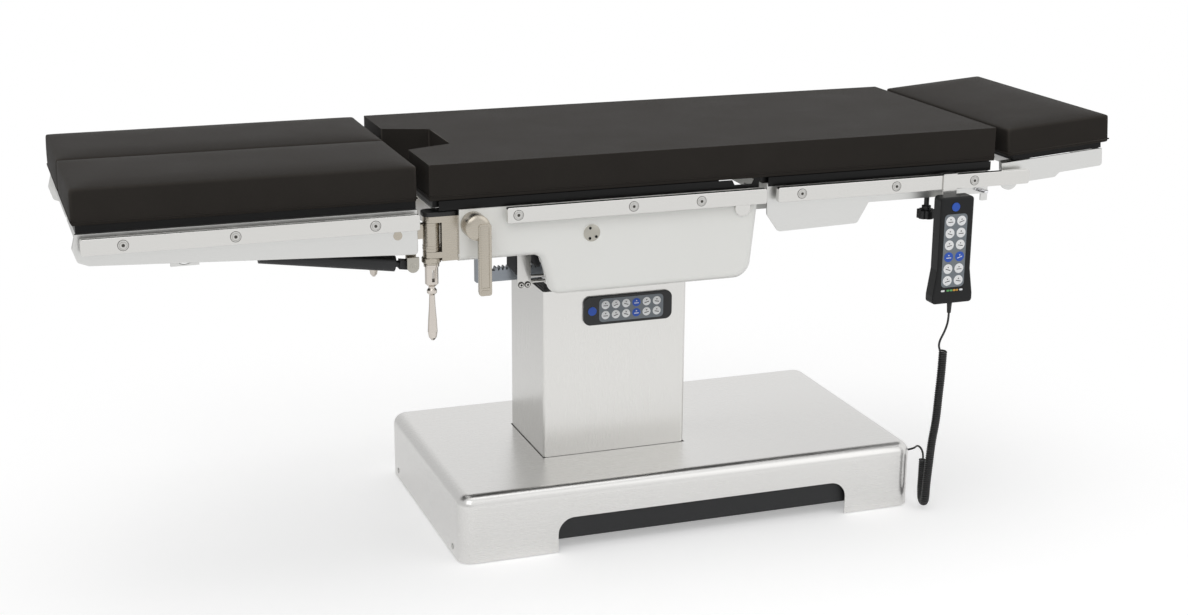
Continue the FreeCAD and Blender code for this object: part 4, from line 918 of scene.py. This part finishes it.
@dataclass
class LegJoint:
    """Dress of the swing joint: black cap, collars, barrel rings and the gas spring's fork."""

    swing: Spot = (-395.0, 228.0)
    barrel: float = 17.0
    cap_reach: float = 46.0
    cap_levels: Spot = (661.2, 670.0)
    collar_top: float = 585.8
    ring_levels: Point = (601.0, 606.0, 643.0)
    lug: Spot = (-431.0, 573.0)
    fork_half: float = 11.0
    fork_reach: float = 17.0
    fork_faces: Spot = (236.3, 240.6)
    collars: tuple[Spot, ...] = ((0, 8.2), (0, 16.6), (1, 17.4), (8, 17.4), (9, 16.6), (9, 13.2),
                                 (9.6, 13.2), (9.6, 14.4), (12.4, 14.4), (12.4, 8.2))
    groove: tuple[Spot, ...] = ((0, 14.9), (0, 15.5), (2.2, 15.5), (2.2, 14.9))
    rivet: tuple[Spot, ...] = ((-1, 0), (-1, 6.6), (0.3, 6.6), (0.8, 5.6), (0.8, 2.4), (0.4, 2.0),
                               (0.4, 0))

    def build(self) -> None:
        """Make the cap, collars, rings and fork on both sides."""
        x, offset = self.swing
        for name, side in SIDES:
            y = side * offset
            cap = slab((x - self.barrel, x + self.cap_reach, y - self.barrel, y + self.barrel),
                       12, self.cap_levels, 2.0, plane="xy")
            piece(f"joint_cap_{name}", Look.NYLON, "seat", cap)
            collars = turned(self.collars, (x, y, self.collar_top), (0, 0, -1), 40)
            piece(f"joint_collars_{name}", Look.NICKEL, "seat", collars)
            rings = (turned(self.groove, (x, y, level), (0, 0, 1), 40)
                     for level in self.ring_levels)
            piece(f"barrel_rings_{name}", Look.NICKEL, f"swing_{name}", *rings)
            self.fork(name, side)

    def fork(self, name: str, side: int) -> None:
        """Make the fork plate that holds the gas spring's end, with its rivet.

        Args:
            name: near or far.
            side: -1 for near, 1 for far.
        """
        (x, z), half, reach = self.lug, self.fork_half, self.fork_reach
        outline = [(x - half, z + reach), (x - half, z)]
        for k in range(1, 8):
            angle = math.pi + math.pi * k / 8
            outline.append((x + half * math.cos(angle), z + half * math.sin(angle)))
        outline += [(x + half, z), (x + half, z + reach)]
        plate = extruded(outline, "xz", *faces_at(side, *self.fork_faces), 0.8)
        rivet = turned(self.rivet, (x, side * self.fork_faces[1], z), (0, side, 0), 28)
        piece(f"spring_fork_{name}", Look.BLASTED, f"spring_cylinder_{name}", plate, rivet)


@dataclass
class LockLever:
    """Dress of the leg lock lever: domed hub, raised grip and the border of its panel."""

    hub: Spot = (-324.0, 645.0)
    bar: Box = (-323.0, -302.0, 523.0, 652.0)
    face: float = 281.0
    rise: float = 7.0
    border: float = 1.6
    border_faces: Spot = (-0.3, 0.9)
    border_inset: float = 2.2
    dome: tuple[Spot, ...] = ((-0.4, 0), (-0.4, 22.6), (1.2, 22.2), (3.4, 19.5), (4.6, 15),
                              (5.0, 8), (5.0, 0))

    def build(self) -> None:
        """Make the dome and the grip of each lever."""
        x, z = self.hub
        left, right, low, high = self.bar
        inner, outer = left + self.border_inset, right - self.border_inset
        front = self.face + self.rise
        for name, side in SIDES:
            dome = turned(self.dome, (x, side * self.face, z), (0, side, 0), 48)
            piece(f"lever_dome_{name}", Look.NICKEL, f"lock_lever_{name}", dome)
            grip = slab((left - 1, right + 1, low - 1, high), 4.5,
                        faces_at(side, self.face - 0.5, front), 2.0)
            edge = faces_at(side, *(front + step for step in self.border_faces))
            rim = self.frame((inner, outer, low + 12, high - 4), edge)
            foot = slab((inner, outer, low + 2, low + 9.5), 2.5, edge, 0.3)
            piece(f"lever_grip_{name}", Look.NICKEL, f"lock_lever_{name}", grip, *rim, foot)

    def frame(self, box: Box, faces: Spot) -> list[Form]:
        """Make a thin raised border round a panel.

        Args:
            box: the border's outer edges.
            faces: its back and front.

        Returns:
            Its four bars.
        """
        (left, right, low, high), wide = box, self.border
        bars = ((left, right, low, low + wide), (left, right, high - wide, high),
                (left, left + wide, low + wide, high - wide),
                (right - wide, right, low + wide, high - wide))
        return [slab(bar, 0.5, faces, steps=2) for bar in bars]


@dataclass
class SidePanels:
    """Cover discs on the side panels, with three sunk holes each, their depth shown as painted
    shade.
    """

    plug: Spot = (-102.0, 612.0)
    radius: float = 16.2
    face: float = 250.8
    holes: tuple[Spot, ...] = ((-3.4, 9.2), (-4.0, -9.8), (8.2, -7.4))
    hole: tuple[Spot, ...] = ((0, 0), (0, 2.6), (0.5, 2.6), (0.5, 1.9), (0.2, 1.7), (0.2, 0))

    def build(self) -> None:
        """Make the discs, and black discs in their holes as painted shade."""
        (x, z), r = self.plug, self.radius
        for name, side in SIDES:
            disc = turned([(-1, 0), (-1, r), (1.0, r), (1.8, r - 1.2), (2.0, 0)],
                          (x, side * self.face, z), (0, side, 0), 48)
            holes = (turned(self.hole, (x + dx, side * (self.face + 1.8), z + dz), (0, side, 0),
                            20) for dx, dz in self.holes)
            piece(f"cover_disc_{name}", Look.BLASTED, "seat", disc)
            # Black discs in the holes: painted shade of their depth
            piece(f"disc_hole_shades_{name}", Look.LAMINATE, "seat", *holes)


@dataclass
class RackGuide:
    """Guide plate, rods, struts and rubber buffer before the rack's end, on the carriage."""

    plate: Box = (-222, -196, 500, 576)
    front: float = -184.0
    thick: float = 4.0
    ear: Box = (-168, -157, 504, 528)
    ear_faces: Spot = (-187.0, -171.5)
    screws: Spot = (-215, -202.5)
    screw_level: float = 506.5
    rod_levels: Spot = (511.0, 521.0)
    rod_length: float = 29.0
    rod_radius: float = 3.0
    buffer: Box = (-167.2, -154.8, 486.8, 508.8)
    buffer_faces: Spot = (-173.2, -126.8)
    lip_levels: Point = (490.0, 496.0, 502.0)
    lip_rise: float = 2.2
    lip_proud: float = 0.8
    strut_faces: Spot = (-180.0, -176.0)
    wing: tuple[Spot, ...] = ((-240, 577), (-214, 577), (-214, 524), (-222, 524), (-240, 546))
    strut: tuple[Spot, ...] = ((-196, 572), (-186, 577), (-176, 542), (-182, 536), (-192, 545))

    def build(self) -> None:
        """Make the buffer, the plate with its screws and rods, and the struts behind it."""
        (left, right), (front, back), proud = self.buffer[:2], self.buffer_faces, self.lip_proud
        lips = (slab((left - proud, right + proud, z, z + self.lip_rise), 0.9,
                     (front - proud, back + proud), 0.4, 2) for z in self.lip_levels)
        piece("guide_buffer", Look.RUBBER, "carriage",
              slab(self.buffer, 2.0, self.buffer_faces, 0.8), *lips)
        # Dark rings and sockets of the guide's screws: painted shadow round the heads and painted
        # shade in the sockets
        piece("guide_screw_shadows", Look.SOCKET, "carriage",
              *self.on_screws([(0, 4.4), (0.6, 6.0), (0.9, 5.8), (0.9, 4.4)], 24),
              *self.on_screws([(1.3, 0), (2.9, 2.3), (1.3, 2.3)], 6))
        heads = self.on_screws([(0, 0), (0, 4.4), (2.6, 4.4), (3.4, 3.6), (3.4, 2.2), (1.2, 2.0),
                                (1.2, 0)], 24)
        start = (self.plate[1], self.front + self.thick / 2)
        rod = [(0, 0), (0, self.rod_radius), (self.rod_length, self.rod_radius),
               (self.rod_length, 0)]
        rods = (turned(rod, (*start, z), (1, 0, 0), 20) for z in self.rod_levels)
        piece("rack_guide", Look.SCREW, "carriage",
              slab(self.plate, 2.5, (self.front, self.front + self.thick), 0.8),
              slab(self.ear, 2.0, self.ear_faces, 0.8), *heads, *rods)
        struts = (extruded(outline, "xz", *self.strut_faces, 0.6)
                  for outline in (self.wing, self.strut))
        piece("guide_struts", Look.POWDER, "carriage", *struts)

    def on_screws(self, profile: Sequence[Spot], faces: int) -> list[Form]:
        """Turn the same profile on each screw of the plate.

        Args:
            profile: the points of (distance from the plate, radius).
            faces: faces round it.

        Returns:
            One form for each screw.
        """
        return [turned(profile, (x, self.front, self.screw_level), (0, -1, 0), faces)
                for x in self.screws]


@dataclass
class HeadGaiter:
    """Low ribbed rubber gaiter that stands on the column head under the tilting carriage."""

    half_x: float = 145.5
    half_y: float = 104.0
    radius: float = 14.0
    base: float = 466.5
    rib: float = 4.0
    depth: float = 2.0
    wall: float = 6.0

    def build(self) -> None:
        """Loft the ribbed wall up its outside and down its inside."""
        steps = [(self.depth * (k % 2), self.base + self.rib * k) for k in range(5)]
        steps += [(self.wall, steps[-1][1]), (self.wall, self.base)]
        form = bmesh.new()
        rings = []
        for inset, z in steps:
            x, y = self.half_x - inset, self.half_y - inset
            rings.append([form.verts.new((u * MM, v * MM, z * MM))
                          for u, v in rounded((-x, x, -y, y), self.radius)])
        skin(form, rings)
        piece("head_gaiter", Look.RUBBER, "column", form)


@dataclass
class BoardTrim:
    """Black edge trim between the boards of seat and back and their side plates."""

    face: float = 250.2
    proud: float = 1.1
    low: float = 673.0
    top: float = 690.4
    dip_low: float = 681.0
    dip: Box = (216.0, 211.0, 177.0, 172.0)
    seat: Spot = (-386.0, 226.0)
    back: Spot = (245.0, 716.0)

    def build(self) -> None:
        """Make the trim on both sides, with a dip in the seat's where the hinge shows."""
        low, top, (a, b, c, d) = self.low, self.top, self.dip
        dip = [(a, top), (b, self.dip_low), (c, self.dip_low), (d, top)]
        for body, (start, end), notch in (("seat", self.seat, dip), ("back", self.back, [])):
            outline = [(start, low), (end, low), (end, top), *notch, (start, top)]
            for name, side in SIDES:
                faces = faces_at(side, self.face, self.face + self.proud)
                piece(f"{body}_trim_{name}", Look.LAMINATE, body,
                      extruded(outline, "xz", *faces, 0.4))


@dataclass
class HandLamps:
    """Row of lamps under the hand control's keys."""

    faces: Spot = (-304.0, -303.2)
    levels: Spot = (452.6, 456.2)
    rows: dict[str, tuple[Look, tuple[Spot, ...]]] = field(default_factory=lambda: {
        "lamp_ends": (Look.KEY_WHITE, ((592, 600), (632, 639))),
        "lamps_green": (Look.LAMP_GREEN, ((604, 610), (611, 617))),
        "lamps_amber": (Look.LAMP_AMBER, ((618, 624), (625, 629)))})

    def build(self) -> None:
        """Make the ends, the green and the amber lamps."""
        for name, (look, spans) in self.rows.items():
            piece(name, look, "handset", *(slab((*span, *self.levels), 1.4, self.faces, 0.2, 3)
                                           for span in spans))


@dataclass
class HeadClamp:
    """Small plates and threaded spring pins that lock the bars of the head section."""

    place: Spot = (690.0, 639.0)
    plate_faces: Spot = (240.5, 244.0)
    pin_offset: float = 249.5
    threads: int = 9
    thread: float = 2.6

    def build(self) -> None:
        """Make the plate and the threaded pin on both sides."""
        x, z = self.place
        profile = [(0.0, 0.0), (0.0, 4.2)]
        for k in range(self.threads):
            profile += [(1.4 + self.thread * k, 4.4), (2.6 + self.thread * k, 3.2)]
        profile += [(26.0, 4.0), (30.0, 4.0), (31.0, 3.0), (31.0, 0.0)]
        for name, side in SIDES:
            plate = slab((x + 12, x + 27, z - 27, z + 8), 2, faces_at(side, *self.plate_faces), 0.6)
            piece(f"clamp_plate_{name}", Look.PLATE, "back", plate)
            pin = turned(profile, (x - 6, side * self.pin_offset, z), (1, 0, -0.32), 20)
            piece(f"clamp_pin_{name}", Look.CHROME, "back", pin)


@dataclass
class Keypad:
    """A printed overlay with a grey field, embossed round keys and their marks."""

    body: str
    face: float
    key: float
    columns: tuple[float, ...]
    rows: tuple[float, ...]
    blue: tuple[int, ...]
    field_box: Box
    radius: float = 8.0
    leans: tuple[float, ...] = (0, 18, -18, 0, 12, -12)
    bar_half: float = 0.7
    arrow: float = 1.7
    arrow_rise: float = 2.2
    arrow_tip: float = 2.6

    def build(self) -> None:
        """Make the grey field, the keys and their marks."""
        out = self.face
        piece(f"{self.body}_key_field", Look.FIELD, self.body,
              slab(self.field_box, self.radius, (out - 0.35, out + 0.4)))
        whites, blues, marks, pale = [], [], [], []
        for index, (x, z) in enumerate((x, z) for z in self.rows for x in self.columns):
            cap = turned([(0, 0), (0, self.key), (0.5, self.key), (0.9, self.key * 0.86),
                          (1.0, 0)], (x, out - 0.2, z), (0, -1, 0), 28)
            (blues if index in self.blue else whites).append(cap)
            (pale if index in self.blue else marks).extend(self.mark(x, z, index))
        for name, forms, look in (("white_keys", whites, Look.KEY_WHITE),
                                  ("blue_keys", blues, Look.KEY_BLUE),
                                  ("key_marks", marks, Look.MARK),
                                  ("pale_marks", pale, Look.KEY_WHITE)):
            piece(f"{self.body}_{name}", look, self.body, *forms)

    def mark(self, x: float, z: float, index: int) -> list[Form]:
        """Make a key's sign: a bar for the tabletop and a small arrow over it.

        Args:
            x: the key's place along the table.
            z: its height.
            index: its number, which sets the bar's lean and the arrow's way.

        Returns:
            The bar and the arrow.
        """
        long, thin, front = self.key * 0.55, self.bar_half, self.face - 1.3
        lean = math.radians(self.leans[index % len(self.leans)])
        bar = [(x + u * math.cos(lean) - v * math.sin(lean),
                z - 2 * thin + u * math.sin(lean) + v * math.cos(lean))
               for u, v in ((-long, -thin), (long, -thin), (long, thin), (-long, thin))]
        foot, half, tip = z + self.arrow_rise, self.arrow, self.arrow_tip
        arrow = [(x - half, foot), (x + half, foot), (x, foot + tip)]
        if index % 2 == 0:
            arrow = [(a, b + self.arrow_rise) for a, b in
                     ((x, foot - tip), (x + half, foot), (x - half, foot))]
        return [extruded(outline, "xz", front, front + 0.3) for outline in (bar, arrow)]


@dataclass
class HandCord:
    """Curly cord of the hand control: thin lead, coil and the short lead into the base."""

    diameter: float = 4.2
    coil_radius: float = 6.2
    pitch: float = 4.5
    turn_points: int = 12
    spline_pull: float = 1.02
    lead: list[Point] = field(default_factory=lambda: [
        (616, -297, 408), (616, -297, 394), (612.5, -297.5, 380), (606.5, -298, 366.5),
        (599.5, -298.5, 355), (596.5, -299, 343.5), (600, -299.5, 333)])
    coil: list[Point] = field(default_factory=lambda: [
        (607, -299, 332), (606, -299, 283), (603, -299, 244), (600.5, -299, 189),
        (594, -298.5, 148), (590.5, -298.5, 98), (587.5, -298, 56), (587, -298, 22),
        (592, -280, 11.5), (597, -262, 22), (597.5, -262.5, 52), (598, -262, 94)])
    tail: list[Point] = field(default_factory=lambda: [
        (598, -262, 94.9), (598, -262, 107), (597, -254, 116), (597, -242, 117),
        (599, -231, 112), (602, -221, 105), (594, -215, 100), (580, -215, 100)])

    def build(self) -> None:
        turns = self.helix()
        upper = self.curve("hand_cord", self.lead + turns)
        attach(upper, "handset")
        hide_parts("handset_lead", "curly_cord")
        LOG.info("hand cord is %.3f m", self.measure(upper))
        lower = self.curve("base_cord", list(reversed(self.tail)))
        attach(lower, "base")
        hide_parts("base_lead")
        LOG.info("base cord is %.3f m", self.measure(lower))

    def curve(self, name: str, points: Sequence[Point], bevel: bool = True) -> bpy.types.Object:
        """Draw a smooth NURBS cord.

        Args:
            name: the object's name.
            points: its control points, in millimetres.
            bevel: whether it has its thickness, or is a bare line to read points from.

        Returns:
            The curve's object.
        """
        data = bpy.data.curves.new(name, "CURVE")
        data.dimensions = "3D"
        data.resolution_u = 3 if bevel else 12
        spline = data.splines.new("NURBS")
        spline.points.add(len(points) - 1)
        for spot, place in zip(spline.points, points):
            spot.co = (*(v * MM for v in place), 1.0)
        spline.order_u = 3
        spline.use_endpoint_u = True
        if bevel:
            data.bevel_depth = self.diameter / 2 * MM
            data.bevel_resolution = 3
            data.use_fill_caps = True
            data.materials.append(Look.JACKET.material())
        made = placed(name, data)
        return made

    def line(self, points: Sequence[Point]) -> list[Vector]:
        """Read a route's line from its own spline.

        Args:
            points: the route's control points, in millimetres.

        Returns:
            Points along it, in millimetres.
        """
        bare = self.curve("route", points, bevel=False)
        bpy.context.view_layer.update()
        mesh = bpy.data.meshes.new_from_object(bare)
        spots = [v.co / MM for v in mesh.vertices]
        bpy.data.objects.remove(bare)
        return spots

    @staticmethod
    def measure(cord: bpy.types.Object) -> float:
        """Measure a cord along its centreline.

        Args:
            cord: the curve's object.

        Returns:
            Its length in metres.
        """
        plain = cord.copy()
        plain.data = cord.data.copy()
        plain.data.bevel_depth = 0.0
        mesh = bpy.data.meshes.new_from_object(plain)
        spots = [v.co.copy() for v in mesh.vertices]
        bpy.data.objects.remove(plain)
        return sum((b - a).length for a, b in zip(spots, spots[1:]))

    def helix(self) -> list[Point]:
        """Wind the coil's turns round its route.

        Returns:
            The turns' points, in millimetres.
        """
        spots = self.line(self.coil)
        run = [0.0]
        for a, b in zip(spots, spots[1:]):
            run.append(run[-1] + (b - a).length)
        count = round(run[-1] / self.pitch) * self.turn_points
        # A spline cuts inside its control points, so they stand a little outside the wire's circle
        reach = self.coil_radius / math.cos(math.pi / self.turn_points) * self.spline_pull
        made: list[Point] = []
        side = Vector((-1, 0, 0))
        index = 0
        for i in range(count + 1):
            along = run[-1] * i / count
            while index < len(run) - 2 and run[index + 1] < along:
                index += 1
            share = (along - run[index]) / max(run[index + 1] - run[index], 1e-9)
            spot = spots[index].lerp(spots[index + 1], share)
            ahead = (spots[index + 1] - spots[index]).normalized()
            side = (side - ahead * side.dot(ahead)).normalized()
            other = ahead.cross(side)
            angle = 2 * math.pi * i / self.turn_points
            made.append(tuple(spot + side * math.cos(angle) * reach
                              + other * math.sin(angle) * reach))
        return made


@dataclass(frozen=True)
class SoftLamp:
    """A large square lamp that looks at the middle of the table."""

    name: str
    place: Point
    size: float
    watts: float
    aim: Point = (0.0, 0.0, 0.5)

    def build(self) -> None:
        """Hang the lamp and turn it to its aim."""
        data = bpy.data.lights.new(self.name, "AREA")
        data.shape, data.size, data.energy = "SQUARE", self.size, self.watts
        made = placed(self.name, data)
        made.location = self.place
        way = Vector(self.aim) - Vector(self.place)
        made.rotation_euler = way.to_track_quat("-Z", "Y").to_euler()


@dataclass
class Studio:
    """Pale floor, soft lamps and the camera at the photograph's angle."""

    focal_px: float = 1910.28
    frame_px: float = 1188.0
    sensor: float = 36.0
    place: Point = (-1228.2, -3404.15, 1443.44)
    yaw: float = -19.739
    pitch: float = 16.186
    roll: float = 0.345
    floor_half: float = 14.0
    fade_m: Spot = (0.5, 1.9)
    lift: float = 0.36
    dim_m: Spot = (-0.2, 0.8)
    dim_to: float = 0.68
    ambient: float = 0.5
    wall_way: Spot = (-0.35, 0.25)
    wall_levels: Spot = (0.7, 0.95)
    lamps: tuple[SoftLamp, ...] = (SoftLamp("key_lamp", (-1.8, -3.2, 3.4), 3.0, 32.0),
                                   SoftLamp("fill_lamp", (2.6, -2.6, 2.4), 3.0, 14.0),
                                   SoftLamp("top_lamp", (0.2, 0.6, 3.8), 3.5, 34.0))

    def build(self) -> None:
        """Set up everything that isn't part of the table."""
        self.camera()
        self.floor()
        for lamp in self.lamps:
            lamp.build()
        self.world()
        bpy.context.scene.view_settings.view_transform = "Standard"

    def camera(self) -> None:
        """Create the camera from the fitted view."""
        data = bpy.data.cameras.new("camera")
        data.sensor_width = self.sensor
        data.lens = self.focal_px * self.sensor / self.frame_px
        data.clip_end = 50.0
        yaw, pitch, roll = (math.radians(v) for v in (self.yaw, self.pitch, self.roll))
        back = Vector((math.sin(yaw) * math.cos(pitch), -math.cos(yaw) * math.cos(pitch),
                       math.sin(pitch)))
        right = (-back).cross(Vector((0, 0, 1))).normalized()
        up = right.cross(-back)
        side = right * math.cos(roll) + up * math.sin(roll)
        top = -right * math.sin(roll) + up * math.cos(roll)
        turn = Matrix((side, top, back)).transposed().to_4x4()
        made = placed("camera", data)
        made.matrix_world = Matrix.Translation(Vector(self.place) * MM) @ turn
        bpy.context.scene.camera = made

    def floor(self) -> None:
        """Lay a pale floor that keeps the table's shadow."""
        form = bmesh.new()
        bmesh.ops.create_grid(form, x_segments=2, y_segments=2, size=self.floor_half)
        made = placed("floor", written(form, "floor"))
        # A painted studio floor: matt, with hardly a reflection
        material = Finish("pale_floor", "#f4f4f4", 0.9, specular=0.1).build()
        self.fade(material.node_tree, material.node_tree.nodes["Principled BSDF"])
        made.data.materials.append(material)

    def fade(self, tree: Tree, shader: Node) -> None:
        """Let the floor turn white with distance, for the camera and for reflections.

        Args:
            tree: the floor's node tree.
            shader: its principled shader.
        """
        place = put(tree, "ShaderNodeTexCoord").outputs["Object"]
        reach = put(tree, "ShaderNodeVectorMath", {"operation": "LENGTH"}, {0: place})
        near, far = self.fade_m
        fade = put(tree, "ShaderNodeMapRange", {"interpolation_type": "SMOOTHSTEP",
                   "From Min": near, "From Max": far}, {"Value": reach.outputs["Value"]})
        seen = put(tree, "ShaderNodeLightPath")
        rays = put(tree, "ShaderNodeMath", {"operation": "MAXIMUM"},
                   {0: seen.outputs["Is Camera Ray"], 1: seen.outputs["Is Glossy Ray"]})
        share = put(tree, "ShaderNodeMath", {"operation": "MULTIPLY"},
                    {0: fade.outputs[0], 1: rays.outputs[0]})
        # Reflections see a floor that dims behind the table, as it does away from the lamps
        behind = put(tree, "ShaderNodeSeparateXYZ", None, {0: place})
        start, end = self.dim_m
        dim = put(tree, "ShaderNodeMapRange", {"From Min": start, "From Max": end,
                  "To Min": 1.0, "To Max": self.dim_to}, {"Value": behind.outputs["Y"]})
        level = put(tree, "ShaderNodeMix", {2: 1.0},
                    {0: seen.outputs["Is Glossy Ray"], 3: dim.outputs[0]})
        white = put(tree, "ShaderNodeEmission", None, {"Strength": level.outputs[0]})
        gain = put(tree, "ShaderNodeMath", {"operation": "MULTIPLY"},
                   {0: rays.outputs[0], 1: level.outputs[0]})
        lift = put(tree, "ShaderNodeEmission", {"Color": (self.lift, self.lift, self.lift, 1)},
                   {"Strength": gain.outputs[0]})
        lifted = put(tree, "ShaderNodeAddShader", None, {0: shader.outputs[0], 1: lift.outputs[0]})
        mixed = put(tree, "ShaderNodeMixShader", None,
                    {0: share.outputs[0], 1: lifted.outputs[0], 2: white.outputs[0]})
        tree.links.new(mixed.outputs[0], tree.nodes["Material Output"].inputs["Surface"])

    def world(self) -> None:
        """Set a plain white world, with a wall for reflections that dims to the foot end."""
        world = bpy.data.worlds.new("studio")
        world.use_nodes = True
        bpy.context.scene.world = world
        tree = world.node_tree
        ground = tree.nodes["Background"]
        seen = put(tree, "ShaderNodeLightPath")
        level = put(tree, "ShaderNodeMix", {2: self.ambient, 3: 1.0},
                    {0: seen.outputs["Is Camera Ray"]})
        way = put(tree, "ShaderNodeSeparateXYZ", None,
                  {0: put(tree, "ShaderNodeTexCoord").outputs["Generated"]})
        (left, right), (dark, light) = self.wall_way, self.wall_levels
        wall = put(tree, "ShaderNodeMapRange", {"From Min": left, "From Max": right,
                   "To Min": dark, "To Max": light}, {"Value": way.outputs["X"]})
        shiny = put(tree, "ShaderNodeMix", None,
                    {0: seen.outputs["Is Glossy Ray"], 2: level.outputs[0], 3: wall.outputs[0]})
        ground.inputs["Color"].default_value = (1, 1, 1, 1)
        tree.links.new(shiny.outputs[0], ground.inputs["Strength"])


@dataclass
class FrameDress:
    """Finishes for the CAD nodes that stay visible."""

    looks: dict[str, Look] = field(default_factory=lambda: {
        "base_cover": Look.STAINLESS, "base_chassis": Look.POWDER, "base_feet": Look.RUBBER,
        "inner_sleeve": Look.UPRIGHT, "middle_sleeve": Look.UPRIGHT,
        "column_sleeve": Look.UPRIGHT, "lift_cylinder": Look.POWDER, "lift_rod": Look.CHROME,
        "column_head": Look.UPRIGHT, "column_keypad": Look.OVERLAY,
        "column_power_key": Look.KEY_BLUE, "cord_socket": Look.NYLON, "tilt_cross": Look.CAST,
        "slide_carriage": Look.PLATE, "slide_pinion": Look.GEAR, "slide_rack": Look.GEAR,
        "seat_frame": Look.PLATE, "seat_side_panels": Look.ENAMEL, "seat_rails": Look.RAIL,
        "seat_board": Look.LAMINATE, "leg_brackets": Look.NICKEL, "hinge_pins": Look.RAIL,
        "back_frame": Look.PLATE, "back_rails": Look.RAIL, "back_board": Look.LAMINATE,
        "handset": Look.ABS, "handset_power_key": Look.KEY_BLUE, "handset_hook": Look.RAIL,
        "handset_gland": Look.NYLON, "head_bars": Look.CHROME, "head_frame": Look.PLATE,
        "head_board": Look.LAMINATE})
    paired: dict[str, Look] = field(default_factory=lambda: {
        "head_knob": Look.NYLON, "leg_knuckle": Look.NICKEL, "leg_frame": Look.PLATE,
        "leg_rail": Look.RAIL, "leg_board": Look.LAMINATE, "leg_spring_cylinder": Look.POWDER,
        "leg_spring_rod": Look.CHROME, "leg_handle": Look.GRIP, "lock_lever": Look.NICKEL})

    def build(self, nodes: dict[str, bpy.types.Object]) -> None:
        """Give each node its finish.

        Args:
            nodes: the CAD objects by name.
        """
        chosen = dict(self.looks)
        for stem, look in self.paired.items():
            chosen.update({f"{stem}_{side}": look for side, _ in SIDES})
        for name, look in chosen.items():
            dress(nodes[name].data, look)
            for polygon in nodes[name].data.polygons:
                polygon.material_index = 0
        LOG.info("dressed %d CAD nodes", len(chosen))


def keypads() -> tuple[Keypad, Keypad]:
    """Lay out the two keypads.

    Returns:
        The column's and the hand control's.
    """
    column = Keypad(body="column", face=-109.5, key=8.3,
                    columns=tuple(-22.6 + 21 * i for i in range(6)), rows=(430.4, 410.2),
                    blue=(3, 9), field_box=(-35.6, 96.0, 397.0, 443.0))
    handset = Keypad(body="handset", face=-303.4, key=9.6, columns=(604.2, 628.0),
                     rows=tuple(591.4 - 23.44 * i for i in range(6)), blue=(6, 7),
                     field_box=(591.5, 640.5, 461.0, 605.0))
    return column, handset


def main() -> None:
    """Build the table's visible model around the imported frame."""
    logging.basicConfig(level=logging.INFO, format="%(message)s")
    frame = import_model()
    Studio().build()
    FrameDress().build(frame["nodes"])
    for part in (HandCord(), Mattress(), Screws(), LegJoint(), LockLever(), SidePanels(),
                 RackGuide(), HeadClamp(), BoardTrim(), HandLamps(), HeadGaiter(), *keypads()):
        part.build()


if __name__ == "__main__":
    main()
